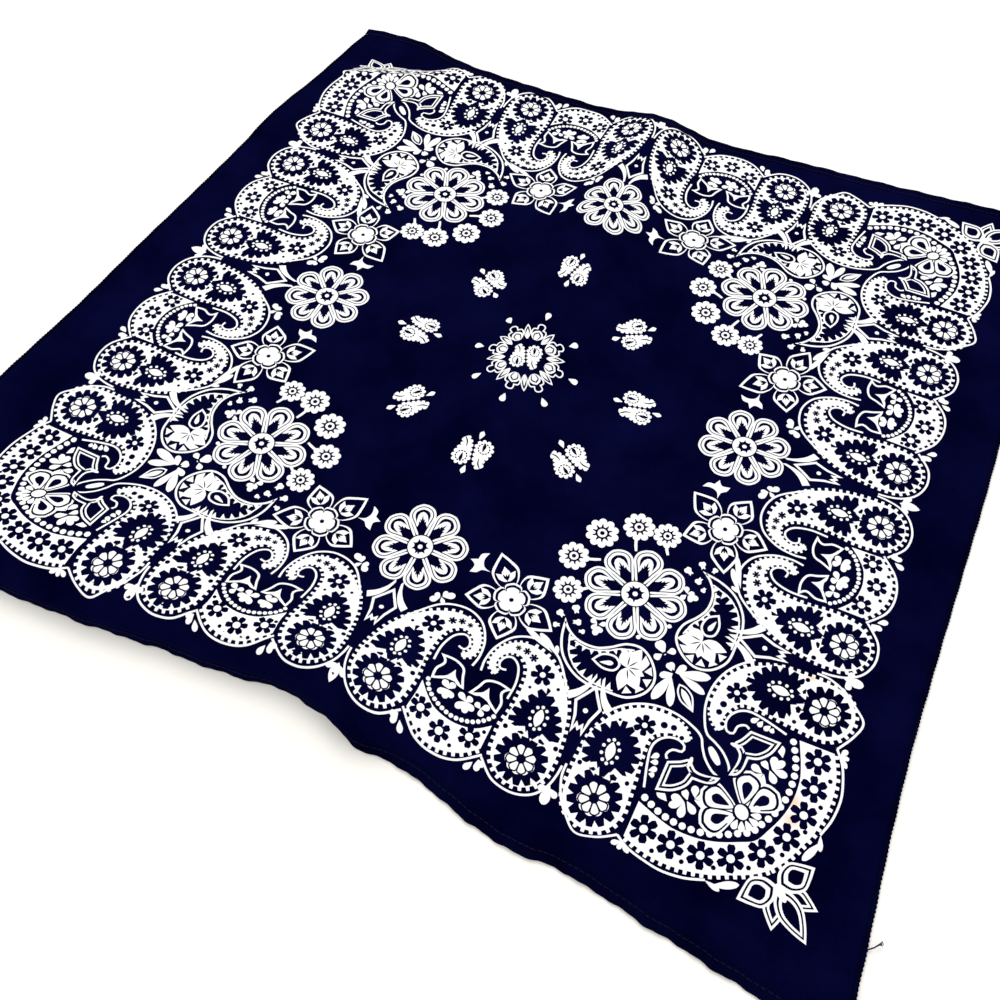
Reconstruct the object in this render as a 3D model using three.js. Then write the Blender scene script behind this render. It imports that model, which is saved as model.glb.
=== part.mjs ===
import * as THREE from 'three';

// A square cotton bandana lying spread on a flat surface.
// Millimetres. X runs along the near hem, Y from the near hem to the far hem, Z up.
// u and v are the same two directions on the cloth pressed flat, from the middle of its printed design.
// CENTRE is the middle of the spread cloth, and the finished model is moved so that it is the origin.
const CENTRE = { x: -7.5, y: -10.5 };

// Driving sizes
const CLOTH_WALL = 1.1;
const HEM_WALL = 1.6;
const HEM_WIDTH = 7;
const SELVEDGE_WIDTH = 2.4;
const SEAM_GAP = 0.35;

// The near edge. flat is where the edge is on the pressed cloth, pull how far the cloth there is drawn in,
// swell the height of the broad lifted wave behind the edge, ridge that of a narrow fold along it.
const NEAR_EDGE = [
  { at: -305, flat: -278, pull: 0, swell: 12, ridge: 2 },
  { at: -250, flat: -280, pull: 0, swell: 17, ridge: 1 },
  { at: -196, flat: -279, pull: 0, swell: 19, ridge: 0 },
  { at: -143, flat: -273, pull: -4, swell: 19.5, ridge: 0 },
  { at: -99, flat: -271, pull: 0, swell: 19, ridge: 0 },
  { at: -60, flat: -270.5, pull: 2, swell: 19, ridge: 0 },
  { at: -30, flat: -270, pull: 5, swell: 19.5, ridge: 0 },
  { at: -8, flat: -272.5, pull: 6, swell: 19.5, ridge: 0 },
  { at: 18, flat: -275, pull: 1, swell: 19.5, ridge: 0 },
  { at: 50, flat: -266, pull: 0, swell: 12, ridge: 0 },
  { at: 80, flat: -270, pull: 0, swell: 5, ridge: 2 },
  { at: 110, flat: -276, pull: 0, swell: 0, ridge: 4 },
  { at: 146, flat: -273, pull: -3, swell: 0, ridge: 6 },
  { at: 181, flat: -280.5, pull: -1, swell: 0, ridge: 7 },
  { at: 215, flat: -286, pull: 0, swell: 0, ridge: 7 },
  { at: 250, flat: -289.5, pull: 0, swell: 0, ridge: 4 },
  { at: 295, flat: -293, pull: 0, swell: 0, ridge: 2 },
];
const FAR_EDGE = [
  { at: -260, flat: 259.5, pull: -2, swell: 6 },
  { at: -215, flat: 265.5, pull: -2.5, swell: 4 },
  { at: -170, flat: 258, pull: -3.5, swell: 3 },
  { at: -122, flat: 256, pull: -4.5, swell: 3 },
  { at: -60, flat: 258.5, pull: -7.5, swell: 2 },
  { at: -30, flat: 257, pull: -7.5, swell: 1 },
  { at: -8, flat: 254, pull: -7.5, swell: 1 },
  { at: 8, flat: 255.5, pull: -8, swell: 1 },
  { at: 27, flat: 258, pull: -9, swell: 1 },
  { at: 88, flat: 265.5, pull: -8.5, swell: 0 },
  { at: 145, flat: 272.5, pull: -12, swell: 0 },
  { at: 193, flat: 271, pull: -8, swell: 1 },
  { at: 240, flat: 272.5, pull: -5, swell: 1 },
  { at: 295, flat: 277, pull: -5, swell: 1 },
];
const LEFT_EDGE = [
  { at: -290, x: -303 },
  { at: -200, x: -299.5 },
  { at: -142, x: -295.2 },
  { at: -111, x: -292.2 },
  { at: -71, x: -288.1 },
  { at: -8, x: -284.5 },
  { at: 60, x: -280.8 },
  { at: 109, x: -277.8 },
  { at: 134, x: -277.3 },
  { at: 161, x: -274.2 },
  { at: 190, x: -269.2 },
  { at: 219, x: -264.8 },
  { at: 290, x: -254 },
];
const RIGHT_EDGE = [
  { at: -290, x: 285 },
  { at: -252, x: 284 },
  { at: -222, x: 282.3 },
  { at: -190, x: 280.5 },
  { at: -145, x: 279.2 },
  { at: -90, x: 280.3 },
  { at: -30, x: 282.1 },
  { at: 40, x: 283.8 },
  { at: 290, x: 286 },
];

// The old fold that stands as a ridge down the middle, from the near edge to the far one:
// its height, and how far the cloth is drawn in to it from the left and from the right
const RIDGE_LINE = -4;
const RIDGE_SPREAD = 24;
const RIDGE_REACH = 40;
const RIDGE_RUN_OUT = 60;
const MIDDLE_RIDGE = [
  { at: -290, height: 0, fromLeft: 2, fromRight: -1 },
  { at: -200, height: 2, fromLeft: 2, fromRight: -1 },
  { at: -145, height: 3, fromLeft: 2, fromRight: -1 },
  { at: -76, height: 6.5, fromLeft: 2, fromRight: 0 },
  { at: 0, height: 11.6, fromLeft: 2.7, fromRight: 1.2 },
  { at: 76, height: 15.5, fromLeft: 4, fromRight: 2.2 },
  { at: 145, height: 16, fromLeft: 4, fromRight: 2.2 },
  { at: 200, height: 16.5, fromLeft: 4, fromRight: 2 },
  { at: 240, height: 14.5, fromLeft: 4, fromRight: 2 },
  { at: 262, height: 11.5, fromLeft: 4, fromRight: 2 },
  { at: 290, height: 11, fromLeft: 4, fromRight: 2 },
];

// The near edge's profile, as lengths of cloth from the edge: a steep face, a softer brow, then the long fall
const FACE_LENGTH = 12;
const BROW_START = 9;
const BROW_END = 28;
const WAVE_END = 115;
const FACE_SHARE = 0.6;
const FOLD_LENGTH = 15;
const FOLD_SPREAD = 7;
// Where the pull of the edges runs out
const NEAR_PULL = { from: -205, to: -248 };
const FAR_PULL = { from: 120, to: 240 };
const FAR_SWELL_DEPTH = 70;

// The grid that the panel is laid out on: even cells inside, and margins that follow the edges
const HALF_SPAN = 280;
const PRINT_HALF = 238;
const NEAR_ZONE = -200;
const FAR_ZONE = 200;
const COLUMN_BANDS = [
  { from: -HALF_SPAN, to: -52, cells: 18 },
  { from: -52, to: 44, cells: 16 },
  { from: 44, to: HALF_SPAN, cells: 18 },
];
const NEAR_ROWS = 14;
const MIDDLE_ROWS = 26;
const FAR_ROWS = 7;

const NAVY = 0x0d0e36;

// A smooth curve through the rows of a table, read at one place along it
function readTable(table, place, column) {
  if (place <= table[0].at) return table[0][column];
  for (let k = 0; k < table.length - 1; k += 1) {
    const a = table[k];
    const b = table[k + 1];
    if (place > b.at) continue;
    const before = table[Math.max(k - 1, 0)];
    const after = table[Math.min(k + 2, table.length - 1)];
    const span = b.at - a.at;
    const t = (place - a.at) / span;
    const slopeA = ((b[column] - before[column]) / (b.at - before.at)) * span;
    const slopeB = ((after[column] - a[column]) / (after.at - a.at)) * span;
    const blend = t * t * (3 - 2 * t);
    const straight = a[column] * (1 - blend) + b[column] * blend;
    return straight + slopeA * t * (1 - t) ** 2 - slopeB * t * t * (1 - t);
  }
  return table[table.length - 1][column];
}

function smoothStep(low, high, value) {
  const t = Math.min(Math.max((value - low) / (high - low), 0), 1);
  return t * t * (3 - 2 * t);
}

// How much shorter a slope is in plan than the cloth that lies on it
function planLoss(length, rise) {
  return length - Math.sqrt(Math.max(length ** 2 - rise ** 2, 1));
}

// The cloth's underside at u, v of the pressed cloth, as it lies
function pointAt(u, v) {
  const fromNear = v - readTable(NEAR_EDGE, u, 'flat');
  const swell = Math.max(readTable(NEAR_EDGE, u, 'swell'), 0);
  const ridge = Math.max(readTable(NEAR_EDGE, u, 'ridge'), 0);
  const faceRise = swell * FACE_SHARE;
  const browRise = swell - faceRise;
  const onFace = smoothStep(0, FACE_LENGTH, fromNear);
  const onBrow = smoothStep(BROW_START, BROW_END, fromNear);
  const onFold = smoothStep(0, FOLD_LENGTH, fromNear);
  const fallLength = WAVE_END - BROW_END;
  const fallLoss = (0.6 * swell ** 2) / fallLength;
  const pastBrow = Math.min(Math.max(fromNear - BROW_END, 0) / fallLength, 1);
  const wave = (faceRise * onFace + browRise * onBrow) * Math.cos((Math.PI / 2) * pastBrow) ** 2;
  const fold = ridge * onFold * Math.exp(-((Math.max(fromNear - FOLD_LENGTH, 0) / FOLD_SPREAD) ** 2));
  const across = Math.exp(-(((u - RIDGE_LINE) / RIDGE_SPREAD) ** 2) / 2);
  const middle = readTable(MIDDLE_RIDGE, v, 'height') * across * smoothStep(0, RIDGE_RUN_OUT, fromNear);
  const fromFar = readTable(FAR_EDGE, u, 'flat') - v;
  const farWave = readTable(FAR_EDGE, u, 'swell') * smoothStep(FAR_SWELL_DEPTH, 0, fromFar);
  let y = v + fallLoss * (1 - smoothStep(BROW_END, WAVE_END, fromNear));
  y += planLoss(FACE_LENGTH, faceRise) * (1 - onFace);
  y += planLoss(BROW_END - BROW_START, browRise) * (1 - onBrow);
  y += planLoss(FOLD_LENGTH, ridge) * (1 - onFold);
  y += readTable(NEAR_EDGE, u, 'pull') * smoothStep(NEAR_PULL.from, NEAR_PULL.to, v);
  y += readTable(FAR_EDGE, u, 'pull') * smoothStep(FAR_PULL.from, FAR_PULL.to, v);
  const rightShare = smoothStep(RIDGE_LINE - RIDGE_REACH, RIDGE_LINE + RIDGE_REACH, u);
  const drawnRight = readTable(MIDDLE_RIDGE, v, 'fromLeft') * (1 - rightShare);
  const drawnLeft = readTable(MIDDLE_RIDGE, v, 'fromRight') * rightShare;
  return new THREE.Vector3(u + drawnRight - drawnLeft, y, Math.max(wave + fold + middle + farWave, 0));
}

// The way out of the cloth's upper face
function normalAt(u, v) {
  const step = 0.5;
  const along = pointAt(u + step, v).sub(pointAt(u - step, v));
  const inward = pointAt(u, v + step).sub(pointAt(u, v - step));
  return along.cross(inward).normalize();
}

// u of a grid column on a row: even inside the printed part, stretched to the edge outside it
function columnU(column, row, inset) {
  const left = readTable(LEFT_EDGE, row, 'x') + inset;
  const right = readTable(RIGHT_EDGE, row, 'x') - inset;
  const margin = HALF_SPAN - PRINT_HALF;
  if (column < -PRINT_HALF) return -PRINT_HALF + ((column + PRINT_HALF) / margin) * (-PRINT_HALF - left);
  if (column > PRINT_HALF) return PRINT_HALF + ((column - PRINT_HALF) / margin) * (right - PRINT_HALF);
  return column;
}

// v of a grid row at u, where share runs from 0 to 1 over each of the three bands of rows
function rowV(u, row) {
  const low = readTable(NEAR_EDGE, u, 'flat') + HEM_WIDTH + SEAM_GAP;
  const high = readTable(FAR_EDGE, u, 'flat') - HEM_WIDTH - SEAM_GAP;
  if (row.band === 'near') return low + (NEAR_ZONE - low) * row.share;
  if (row.band === 'far') return FAR_ZONE + (high - FAR_ZONE) * row.share;
  return NEAR_ZONE + (FAR_ZONE - NEAR_ZONE) * row.share;
}

function columnList() {
  const columns = [];
  for (const band of COLUMN_BANDS) {
    for (let k = 0; k < band.cells; k += 1) columns.push(band.from + ((band.to - band.from) * k) / band.cells);
  }
  columns.push(HALF_SPAN);
  return columns;
}

function rowList() {
  const rows = [];
  for (let k = 0; k < NEAR_ROWS; k += 1) {
    const share = (k / NEAR_ROWS) ** 1.5;
    rows.push({ band: 'near', share, nominal: -HALF_SPAN + share * (NEAR_ZONE + HALF_SPAN) });
  }
  for (let k = 0; k < MIDDLE_ROWS; k += 1) {
    const share = k / MIDDLE_ROWS;
    rows.push({ band: 'middle', share, nominal: NEAR_ZONE + share * (FAR_ZONE - NEAR_ZONE) });
  }
  for (let k = 0; k <= FAR_ROWS; k += 1) {
    const share = k / FAR_ROWS;
    rows.push({ band: 'far', share, nominal: FAR_ZONE + share * (HALF_SPAN - FAR_ZONE) });
  }
  return rows;
}

// A closed wall from two grids of points of the same size, the lower and the upper face
function wallGeometry(lower, upper) {
  const rowCount = lower.length;
  const columnCount = lower[0].length;
  const positions = [];
  for (const grid of [lower, upper]) {
    for (const line of grid) {
      for (const point of line) positions.push(point.x, point.y, point.z);
    }
  }
  const index = [];
  const layer = rowCount * columnCount;
  const low = (r, c) => r * columnCount + c;
  const high = (r, c) => layer + r * columnCount + c;
  const quad = (a, b, c, d) => index.push(a, b, c, a, c, d);
  for (let r = 0; r < rowCount - 1; r += 1) {
    for (let c = 0; c < columnCount - 1; c += 1) {
      quad(high(r, c), high(r, c + 1), high(r + 1, c + 1), high(r + 1, c));
      quad(low(r, c), low(r + 1, c), low(r + 1, c + 1), low(r, c + 1));
    }
  }
  const lastRow = rowCount - 1;
  const lastColumn = columnCount - 1;
  for (let c = 0; c < lastColumn; c += 1) {
    quad(low(0, c), low(0, c + 1), high(0, c + 1), high(0, c));
    quad(low(lastRow, c + 1), low(lastRow, c), high(lastRow, c), high(lastRow, c + 1));
  }
  for (let r = 0; r < lastRow; r += 1) {
    quad(low(r + 1, 0), low(r, 0), high(r, 0), high(r + 1, 0));
    quad(low(r, lastColumn), low(r + 1, lastColumn), high(r + 1, lastColumn), high(r, lastColumn));
  }
  const geometry = new THREE.BufferGeometry();
  geometry.setAttribute('position', new THREE.Float32BufferAttribute(positions, 3));
  geometry.setIndex(index);
  geometry.translate(-CENTRE.x, -CENTRE.y, 0);
  geometry.computeVertexNormals();
  return geometry;
}

// A wall over a grid of u, v places, as thick on each row as thicknessOf says
function wallFromPlan(plan, thicknessOf) {
  const lower = plan.map((line) => line.map((p) => pointAt(p.u, p.v)));
  const upper = plan.map((line, row) => line.map((p) => (
    pointAt(p.u, p.v).addScaledVector(normalAt(p.u, p.v), thicknessOf(row))
  )));
  return wallGeometry(lower, upper);
}

// The printed square between the hems and the selvedges
function panelGeometry() {
  const inset = SELVEDGE_WIDTH + SEAM_GAP;
  const plan = rowList().map((row) => columnList().map((column) => {
    const u = columnU(column, row.nominal, inset);
    return { u, v: rowV(u, row) };
  }));
  return wallFromPlan(plan, () => CLOTH_WALL);
}

// A rolled hem: a thicker strip along an edge, rounded off at its outer side
function hemGeometry(edge, side) {
  const profile = [
    { share: 0, wall: 0.45 },
    { share: 0.08, wall: 0.8 },
    { share: 0.25, wall: 1 },
    { share: 0.6, wall: 1 },
    { share: 1, wall: 1 },
  ];
  if (side > 0) profile.reverse();
  const strips = profile.map((step) => columnList().map((column) => {
    const u = columnU(column, side * HALF_SPAN, 0);
    return { u, v: readTable(edge, u, 'flat') - side * HEM_WIDTH * step.share };
  }));
  return wallFromPlan(strips, (row) => profile[row].wall * HEM_WALL);
}

// A woven selvedge: a narrow strip along the left or right edge, between the hems
function selvedgeGeometry(side) {
  const insets = side < 0 ? [0, SELVEDGE_WIDTH] : [SELVEDGE_WIDTH, 0];
  const plan = rowList().map((row) => insets.map((inset) => {
    const u = columnU(side * HALF_SPAN, row.nominal, inset);
    return { u, v: rowV(u, row) };
  }));
  return wallFromPlan(plan, () => CLOTH_WALL);
}

function addPiece(group, name, geometry, roughness) {
  const material = new THREE.MeshStandardMaterial({ color: NAVY, roughness, metalness: 0 });
  const mesh = new THREE.Mesh(geometry, material);
  mesh.name = name;
  group.add(mesh);
}

const bandana = new THREE.Group();
addPiece(bandana, 'printed_panel', panelGeometry(), 0.9);
addPiece(bandana, 'near_hem', hemGeometry(NEAR_EDGE, -1), 0.88);
addPiece(bandana, 'far_hem', hemGeometry(FAR_EDGE, 1), 0.88);
addPiece(bandana, 'left_selvedge', selvedgeGeometry(-1), 0.92);
addPiece(bandana, 'right_selvedge', selvedgeGeometry(1), 0.92);

export default bandana;
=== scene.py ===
import cmath
import math

import bpy
import numpy as np
from mathutils import Matrix, Vector, geometry


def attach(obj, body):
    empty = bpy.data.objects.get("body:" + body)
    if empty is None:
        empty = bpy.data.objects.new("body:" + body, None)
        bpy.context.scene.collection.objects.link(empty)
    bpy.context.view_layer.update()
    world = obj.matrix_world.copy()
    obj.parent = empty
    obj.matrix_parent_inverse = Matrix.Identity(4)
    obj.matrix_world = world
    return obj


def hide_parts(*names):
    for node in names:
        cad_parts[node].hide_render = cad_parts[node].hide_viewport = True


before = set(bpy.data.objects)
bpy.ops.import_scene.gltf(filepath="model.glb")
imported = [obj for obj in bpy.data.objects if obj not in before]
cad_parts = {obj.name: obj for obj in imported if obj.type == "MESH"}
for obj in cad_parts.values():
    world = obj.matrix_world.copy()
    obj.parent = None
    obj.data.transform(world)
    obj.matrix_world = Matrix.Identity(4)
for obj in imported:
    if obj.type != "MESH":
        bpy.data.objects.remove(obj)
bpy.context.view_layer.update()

bl_info = {
    "name": "Printed cotton bandana",
    "version": (1, 0, 0),
    "blender": (4, 5, 0),
    "location": "View3D > Sidebar > Bandana",
    "description": "A square cotton bandana with a paisley print, lying spread on a table",
    "category": "Add Mesh",
}

MM = 0.001

# The pressed cloth's own measure, u to the right and v to the far side, starts at the middle of the print.
# The model's origin is the middle of the spread cloth, CENTRE from it.
CENTRE_U = -7.5
CENTRE_V = -10.5

# Edges and folds of the CAD solids, in millimetres of pressed cloth.
# near: place along u, edge, pull, height of the lifted wave, height of the narrow fold
NEAR_EDGE = (
    (-305, -278, 0, 12, 2), (-250, -280, 0, 17, 1), (-196, -279, 0, 19, 0), (-143, -273, -4, 19.5, 0),
    (-99, -271, 0, 19, 0), (-60, -270.5, 2, 19, 0), (-30, -270, 5, 19.5, 0), (-8, -272.5, 6, 19.5, 0),
    (18, -275, 1, 19.5, 0), (50, -266, 0, 12, 0), (80, -270, 0, 5, 2), (110, -276, 0, 0, 4),
    (146, -273, -3, 0, 6), (181, -280.5, -1, 0, 7), (215, -286, 0, 0, 7), (250, -289.5, 0, 0, 4),
    (295, -293, 0, 0, 2),
)
# far: place along u, edge, pull, lift of the margin
FAR_EDGE = (
    (-260, 259.5, -2, 6), (-215, 265.5, -2.5, 4), (-170, 258, -3.5, 3), (-122, 256, -4.5, 3),
    (-60, 258.5, -7.5, 2), (-30, 257, -7.5, 1), (-8, 254, -7.5, 1), (8, 255.5, -8, 1), (27, 258, -9, 1),
    (88, 265.5, -8.5, 0), (145, 272.5, -12, 0), (193, 271, -8, 1), (240, 272.5, -5, 1), (295, 277, -5, 1),
)
# left and right: place along v, edge
LEFT_EDGE = (
    (-290, -303), (-200, -299.5), (-142, -295.2), (-111, -292.2), (-71, -288.1), (-8, -284.5),
    (60, -280.8), (109, -277.8), (134, -277.3), (161, -274.2), (190, -269.2), (219, -264.8), (290, -254),
)
RIGHT_EDGE = (
    (-290, 285), (-252, 284), (-222, 282.3), (-190, 280.5), (-145, 279.2), (-90, 280.3), (-30, 282.1),
    (40, 283.8), (290, 286),
)
# the standing middle fold: place along v, height, cloth drawn in from the left and from the right
MIDDLE_RIDGE = (
    (-290, 0, 2, -1), (-200, 2, 2, -1), (-145, 3, 2, -1), (-76, 6.5, 2, 0), (0, 11.6, 2.7, 1.2),
    (76, 15.5, 4, 2.2), (145, 16, 4, 2.2), (200, 16.5, 4, 2), (240, 14.5, 4, 2), (262, 11.5, 4, 2),
    (290, 11, 4, 2),
)
RIDGE_LINE = -4
RIDGE_SPREAD = 24
RIDGE_REACH = 40
RIDGE_RUN_OUT = 60
FACE_LENGTH = 12
BROW_START = 9
BROW_END = 28
WAVE_END = 115
FACE_SHARE = 0.6
FOLD_LENGTH = 15
FOLD_SPREAD = 7
NEAR_PULL = (-205, -248)
FAR_PULL = (120, 240)
FAR_SWELL_DEPTH = 70
HEM_WIDTH = 7
SELVEDGE_WIDTH = 2.4
HALF_SPAN = 280
PRINT_HALF = 238
# how far the panel reaches under a hem's lip and into a selvedge, and the gap between selvedge and hem
UNDER_HEM = 0.9
UNDER_SELVEDGE = 0.7
SELVEDGE_GAP = 0.12
# how deep an edge's puckers reach, and the margin that the listed creases leave flat
PUCKER_REACH = 9
CALM_MARGIN = 25

# Old peach-coloured stains on the print: middle on the pressed cloth, half length along u and along v
STAINS = ((233, -195, 3.4, 5.0), (234, -204.5, 4.4, 3.6), (222, -127.5, 3.4, 2.4))

# The far left corner falls away behind a low fold: a place on the fold, the way out over it, the way that
# the pattern is drawn back, and where the fold runs out
CORNER_FOLD = (-228, 219)
FOLD_WAY = (-0.34, 0.94)
DRAWN_WAY = (0.6, -0.8)
FOLD_RUN_OUT = (-162, -204)
# how much of a place's distance past the fold is drawn back: first this share, then after STEEP_RUN the other
STEEP_RUN = 30
STEEP_DRAW = 0.84
LATE_DRAW = 0.42

# Soft creases, given one by one: ends on the pressed cloth, half width, height
CREASES = (
    ((-262, 207), (-165, 242), 7.0, 2.4),
    ((-282, 3), (-60, 0), 5.0, 0.9),
    ((40, -2), (250, -6), 4.5, 0.5),
    ((-21, 45), (-15, -60), 3.0, 0.6),
    ((-16, 120), (-10, 232), 4.0, 0.9),
    ((12, 236), (22, 110), 5.0, 0.7),
    ((60, 60), (150, 200), 9.0, 0.6),
    ((-150, 150), (-90, 226), 9.0, 0.6),
    ((120, -60), (200, -20), 10.0, 0.5),
    ((-200, -120), (-120, -180), 9.0, 0.7),
    ((-250, 60), (-180, 120), 9.0, 0.6),
    ((30, -90), (110, -10), 8.0, 0.5),
)


def srgb(colour):
    """A hex colour as the linear values that a shader takes."""
    parts = [int(colour[k:k + 2], 16) / 255 for k in (1, 3, 5)]
    return [c / 12.92 if c <= 0.04045 else ((c + 0.055) / 1.055) ** 2.4 for c in parts] + [1.0]


def smooth_step(low, high, value):
    t = np.clip((value - low) / (high - low), 0, 1)
    return t * t * (3 - 2 * t)


def read_table(table, place, column=1):
    """A smooth curve through a table's rows, read at many places at once."""
    rows = np.array(table, float)
    at = rows[:, 0]
    y = rows[:, column]
    place = np.clip(np.asarray(place, float), at[0], at[-1])
    k = np.clip(np.searchsorted(at, place) - 1, 0, len(at) - 2)
    before = np.maximum(k - 1, 0)
    after = np.minimum(k + 2, len(at) - 1)
    span = at[k + 1] - at[k]
    t = (place - at[k]) / span
    slope_a = (y[k + 1] - y[before]) / (at[k + 1] - at[before]) * span
    slope_b = (y[after] - y[k]) / (at[after] - at[k]) * span
    blend = t * t * (3 - 2 * t)
    return y[k] * (1 - blend) + y[k + 1] * blend + slope_a * t * (1 - t) ** 2 - slope_b * t * t * (1 - t)


def plan_loss(length, rise):
    """How much shorter a slope is in plan than the cloth that lies on it."""
    return length - np.sqrt(np.maximum(length ** 2 - rise ** 2, 1))


def crease_height(u, v):
    """Small folds and slack of the cloth, over the CAD form."""
    height = np.zeros_like(u)
    for start, end, spread, rise in CREASES:
        along = np.array(end, float) - start
        length = math.hypot(*along)
        along /= length
        run = (u - start[0]) * along[0] + (v - start[1]) * along[1]
        side = (v - start[1]) * along[0] - (u - start[0]) * along[1]
        ends = smooth_step(-spread, spread * 3, run) * smooth_step(length + spread, length - spread * 3, run)
        height += rise * ends * np.exp(-(side / spread) ** 2)
    slack = np.sin(u / 31 + 1.7 * np.sin(v / 57)) * np.sin(v / 43 + 1.3 * np.sin(u / 49))
    return height + 0.35 * (1 + slack)


def pucker(u, seed):
    """Uneven gathering of an edge along its hem, about -1 to 1."""
    return (0.45 * np.sin(u / 5.3 + seed) + 0.35 * np.sin(u / 3.1 + 2.1 * seed + 0.8 * np.sin(u / 17))
            + 0.2 * np.sin(u / 1.37 + seed))


def cad_place(u, v):
    """The underside of the CAD solids at u, v, in millimetres of the pattern's frame."""
    from_near = v - read_table(NEAR_EDGE, u, 1)
    swell = np.maximum(read_table(NEAR_EDGE, u, 3), 0)
    ridge = np.maximum(read_table(NEAR_EDGE, u, 4), 0)
    face_rise = swell * FACE_SHARE
    brow_rise = swell - face_rise
    on_face = smooth_step(0, FACE_LENGTH, from_near)
    on_brow = smooth_step(BROW_START, BROW_END, from_near)
    on_fold = smooth_step(0, FOLD_LENGTH, from_near)
    fall_length = WAVE_END - BROW_END
    past_brow = np.clip((from_near - BROW_END) / fall_length, 0, 1)
    wave = (face_rise * on_face + brow_rise * on_brow) * np.cos(math.pi / 2 * past_brow) ** 2
    fold = ridge * on_fold * np.exp(-(np.maximum(from_near - FOLD_LENGTH, 0) / FOLD_SPREAD) ** 2)
    across = np.exp(-(((u - RIDGE_LINE) / RIDGE_SPREAD) ** 2) / 2)
    middle = read_table(MIDDLE_RIDGE, v) * across * smooth_step(0, RIDGE_RUN_OUT, from_near)
    from_far = read_table(FAR_EDGE, u, 1) - v
    far_wave = read_table(FAR_EDGE, u, 3) * smooth_step(FAR_SWELL_DEPTH, 0, from_far)
    y = v + 0.6 * swell ** 2 / fall_length * (1 - smooth_step(BROW_END, WAVE_END, from_near))
    y = y + plan_loss(FACE_LENGTH, face_rise) * (1 - on_face)
    y = y + plan_loss(BROW_END - BROW_START, brow_rise) * (1 - on_brow)
    y = y + plan_loss(FOLD_LENGTH, ridge) * (1 - on_fold)
    y = y + read_table(NEAR_EDGE, u, 2) * smooth_step(*NEAR_PULL, v)
    y = y + read_table(FAR_EDGE, u, 2) * smooth_step(*FAR_PULL, v)
    right_share = smooth_step(RIDGE_LINE - RIDGE_REACH, RIDGE_LINE + RIDGE_REACH, u)
    drawn_right = read_table(MIDDLE_RIDGE, v, 2) * (1 - right_share)
    drawn_left = read_table(MIDDLE_RIDGE, v, 3) * right_share
    return u + drawn_right - drawn_left, y, np.maximum(wave + fold + middle + far_wave, 0)


def cloth_place(u, v):
    """The underside of the real cloth: the CAD form with its creases and puckered hems."""
    x, y, z = cad_place(u, v)
    from_near = v - read_table(NEAR_EDGE, u, 1)
    from_far = read_table(FAR_EDGE, u, 1) - v
    near_share = np.exp(-np.maximum(from_near, 0) / PUCKER_REACH)
    far_share = np.exp(-np.maximum(from_far, 0) / PUCKER_REACH)
    edge_calm = smooth_step(0, CALM_MARGIN, from_near) * smooth_step(0, CALM_MARGIN, from_far)
    z = z + crease_height(u, v) * edge_calm
    y = y + near_share * pucker(u, 0.7) * 0.9 + far_share * pucker(u, 2.9) * 0.7
    z = z + near_share * (0.5 + 0.5 * pucker(u, 4.1)) + far_share * (0.4 + 0.4 * pucker(u, 5.3))
    return np.stack([x, y, z], -1)


def draw_back(u, v):
    """Where a place of the pattern lies once the far left corner has fallen away behind its fold."""
    past = np.maximum((u - CORNER_FOLD[0]) * FOLD_WAY[0] + (v - CORNER_FOLD[1]) * FOLD_WAY[1] + 2, 0)
    drawn = STEEP_DRAW * np.minimum(past, STEEP_RUN) + LATE_DRAW * np.maximum(past - STEEP_RUN, 0)
    drawn = drawn * smooth_step(*FOLD_RUN_OUT, u)
    return u + DRAWN_WAY[0] * drawn, v + DRAWN_WAY[1] * drawn


def on_cloth(u, v, lift):
    """Places at a height over the cloth's underside, in metres of the model's frame."""
    u = np.asarray(u, float)
    v = np.asarray(v, float)
    step = 0.4
    across = cloth_place(u + step, v) - cloth_place(u - step, v)
    inward = cloth_place(u, v + step) - cloth_place(u, v - step)
    normal = np.cross(across, inward)
    normal /= np.linalg.norm(normal, axis=-1, keepdims=True)
    place = cloth_place(u, v) + normal * np.asarray(lift)[..., None]
    return (place - (CENTRE_U, CENTRE_V, 0)) * MM


def edge_u(column, row, margin):
    """u of a grid column: even inside the printed part, stretched to the selvedges outside it."""
    left = read_table(LEFT_EDGE, row) + margin
    right = read_table(RIGHT_EDGE, row) - margin
    share = (np.abs(column) - PRINT_HALF) / (HALF_SPAN - PRINT_HALF)
    outside_left = -PRINT_HALF + share * (left + PRINT_HALF)
    outside_right = PRINT_HALF + share * (right - PRINT_HALF)
    return np.where(column < -PRINT_HALF, outside_left, np.where(column > PRINT_HALF, outside_right, column))


def length_field(name, description, default):
    return bpy.props.FloatProperty(name=name, description=description, default=default, min=0,
                                   unit="LENGTH", precision=5)


def colour_field(name, description, default):
    return bpy.props.FloatVectorProperty(name=name, description=description, default=srgb(default)[:3],
                                         min=0, max=1, subtype="COLOR")


class BANDANA_PG_cloth(bpy.types.PropertyGroup):
    """Sizes and colours of the woven cloth."""
    thickness: length_field("Cloth thickness", "Thickness of one layer of the cotton", 0.00035)
    hem_thickness: length_field("Hem thickness", "Thickness of the folded and stitched hem", 0.0011)
    thread_pitch: length_field("Thread pitch", "Distance between threads of the drawn weave", 0.0009)
    navy: colour_field("Navy", "Colour of the dyed ground", "#01011B")
    # the hem's navy is darker than the ground's as painted shade of the hem faces turned away from the light
    hem_navy_painted_shade: colour_field("Hem navy", "Colour of the folded hem", "#010114")
    selvedge_navy: colour_field("Selvedge navy", "Colour of the woven edge", "#010110")


class BANDANA_PG_print(bpy.types.PropertyGroup):
    """Sizes and colours of the white print."""
    film: length_field("Print height", "Height of the print over the cloth", 0.0001)
    white: colour_field("Print white", "Colour of the print", "#F5F5F8")
    stain: colour_field("Stain", "Colour of the old stains", "#F0C4A2")


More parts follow.
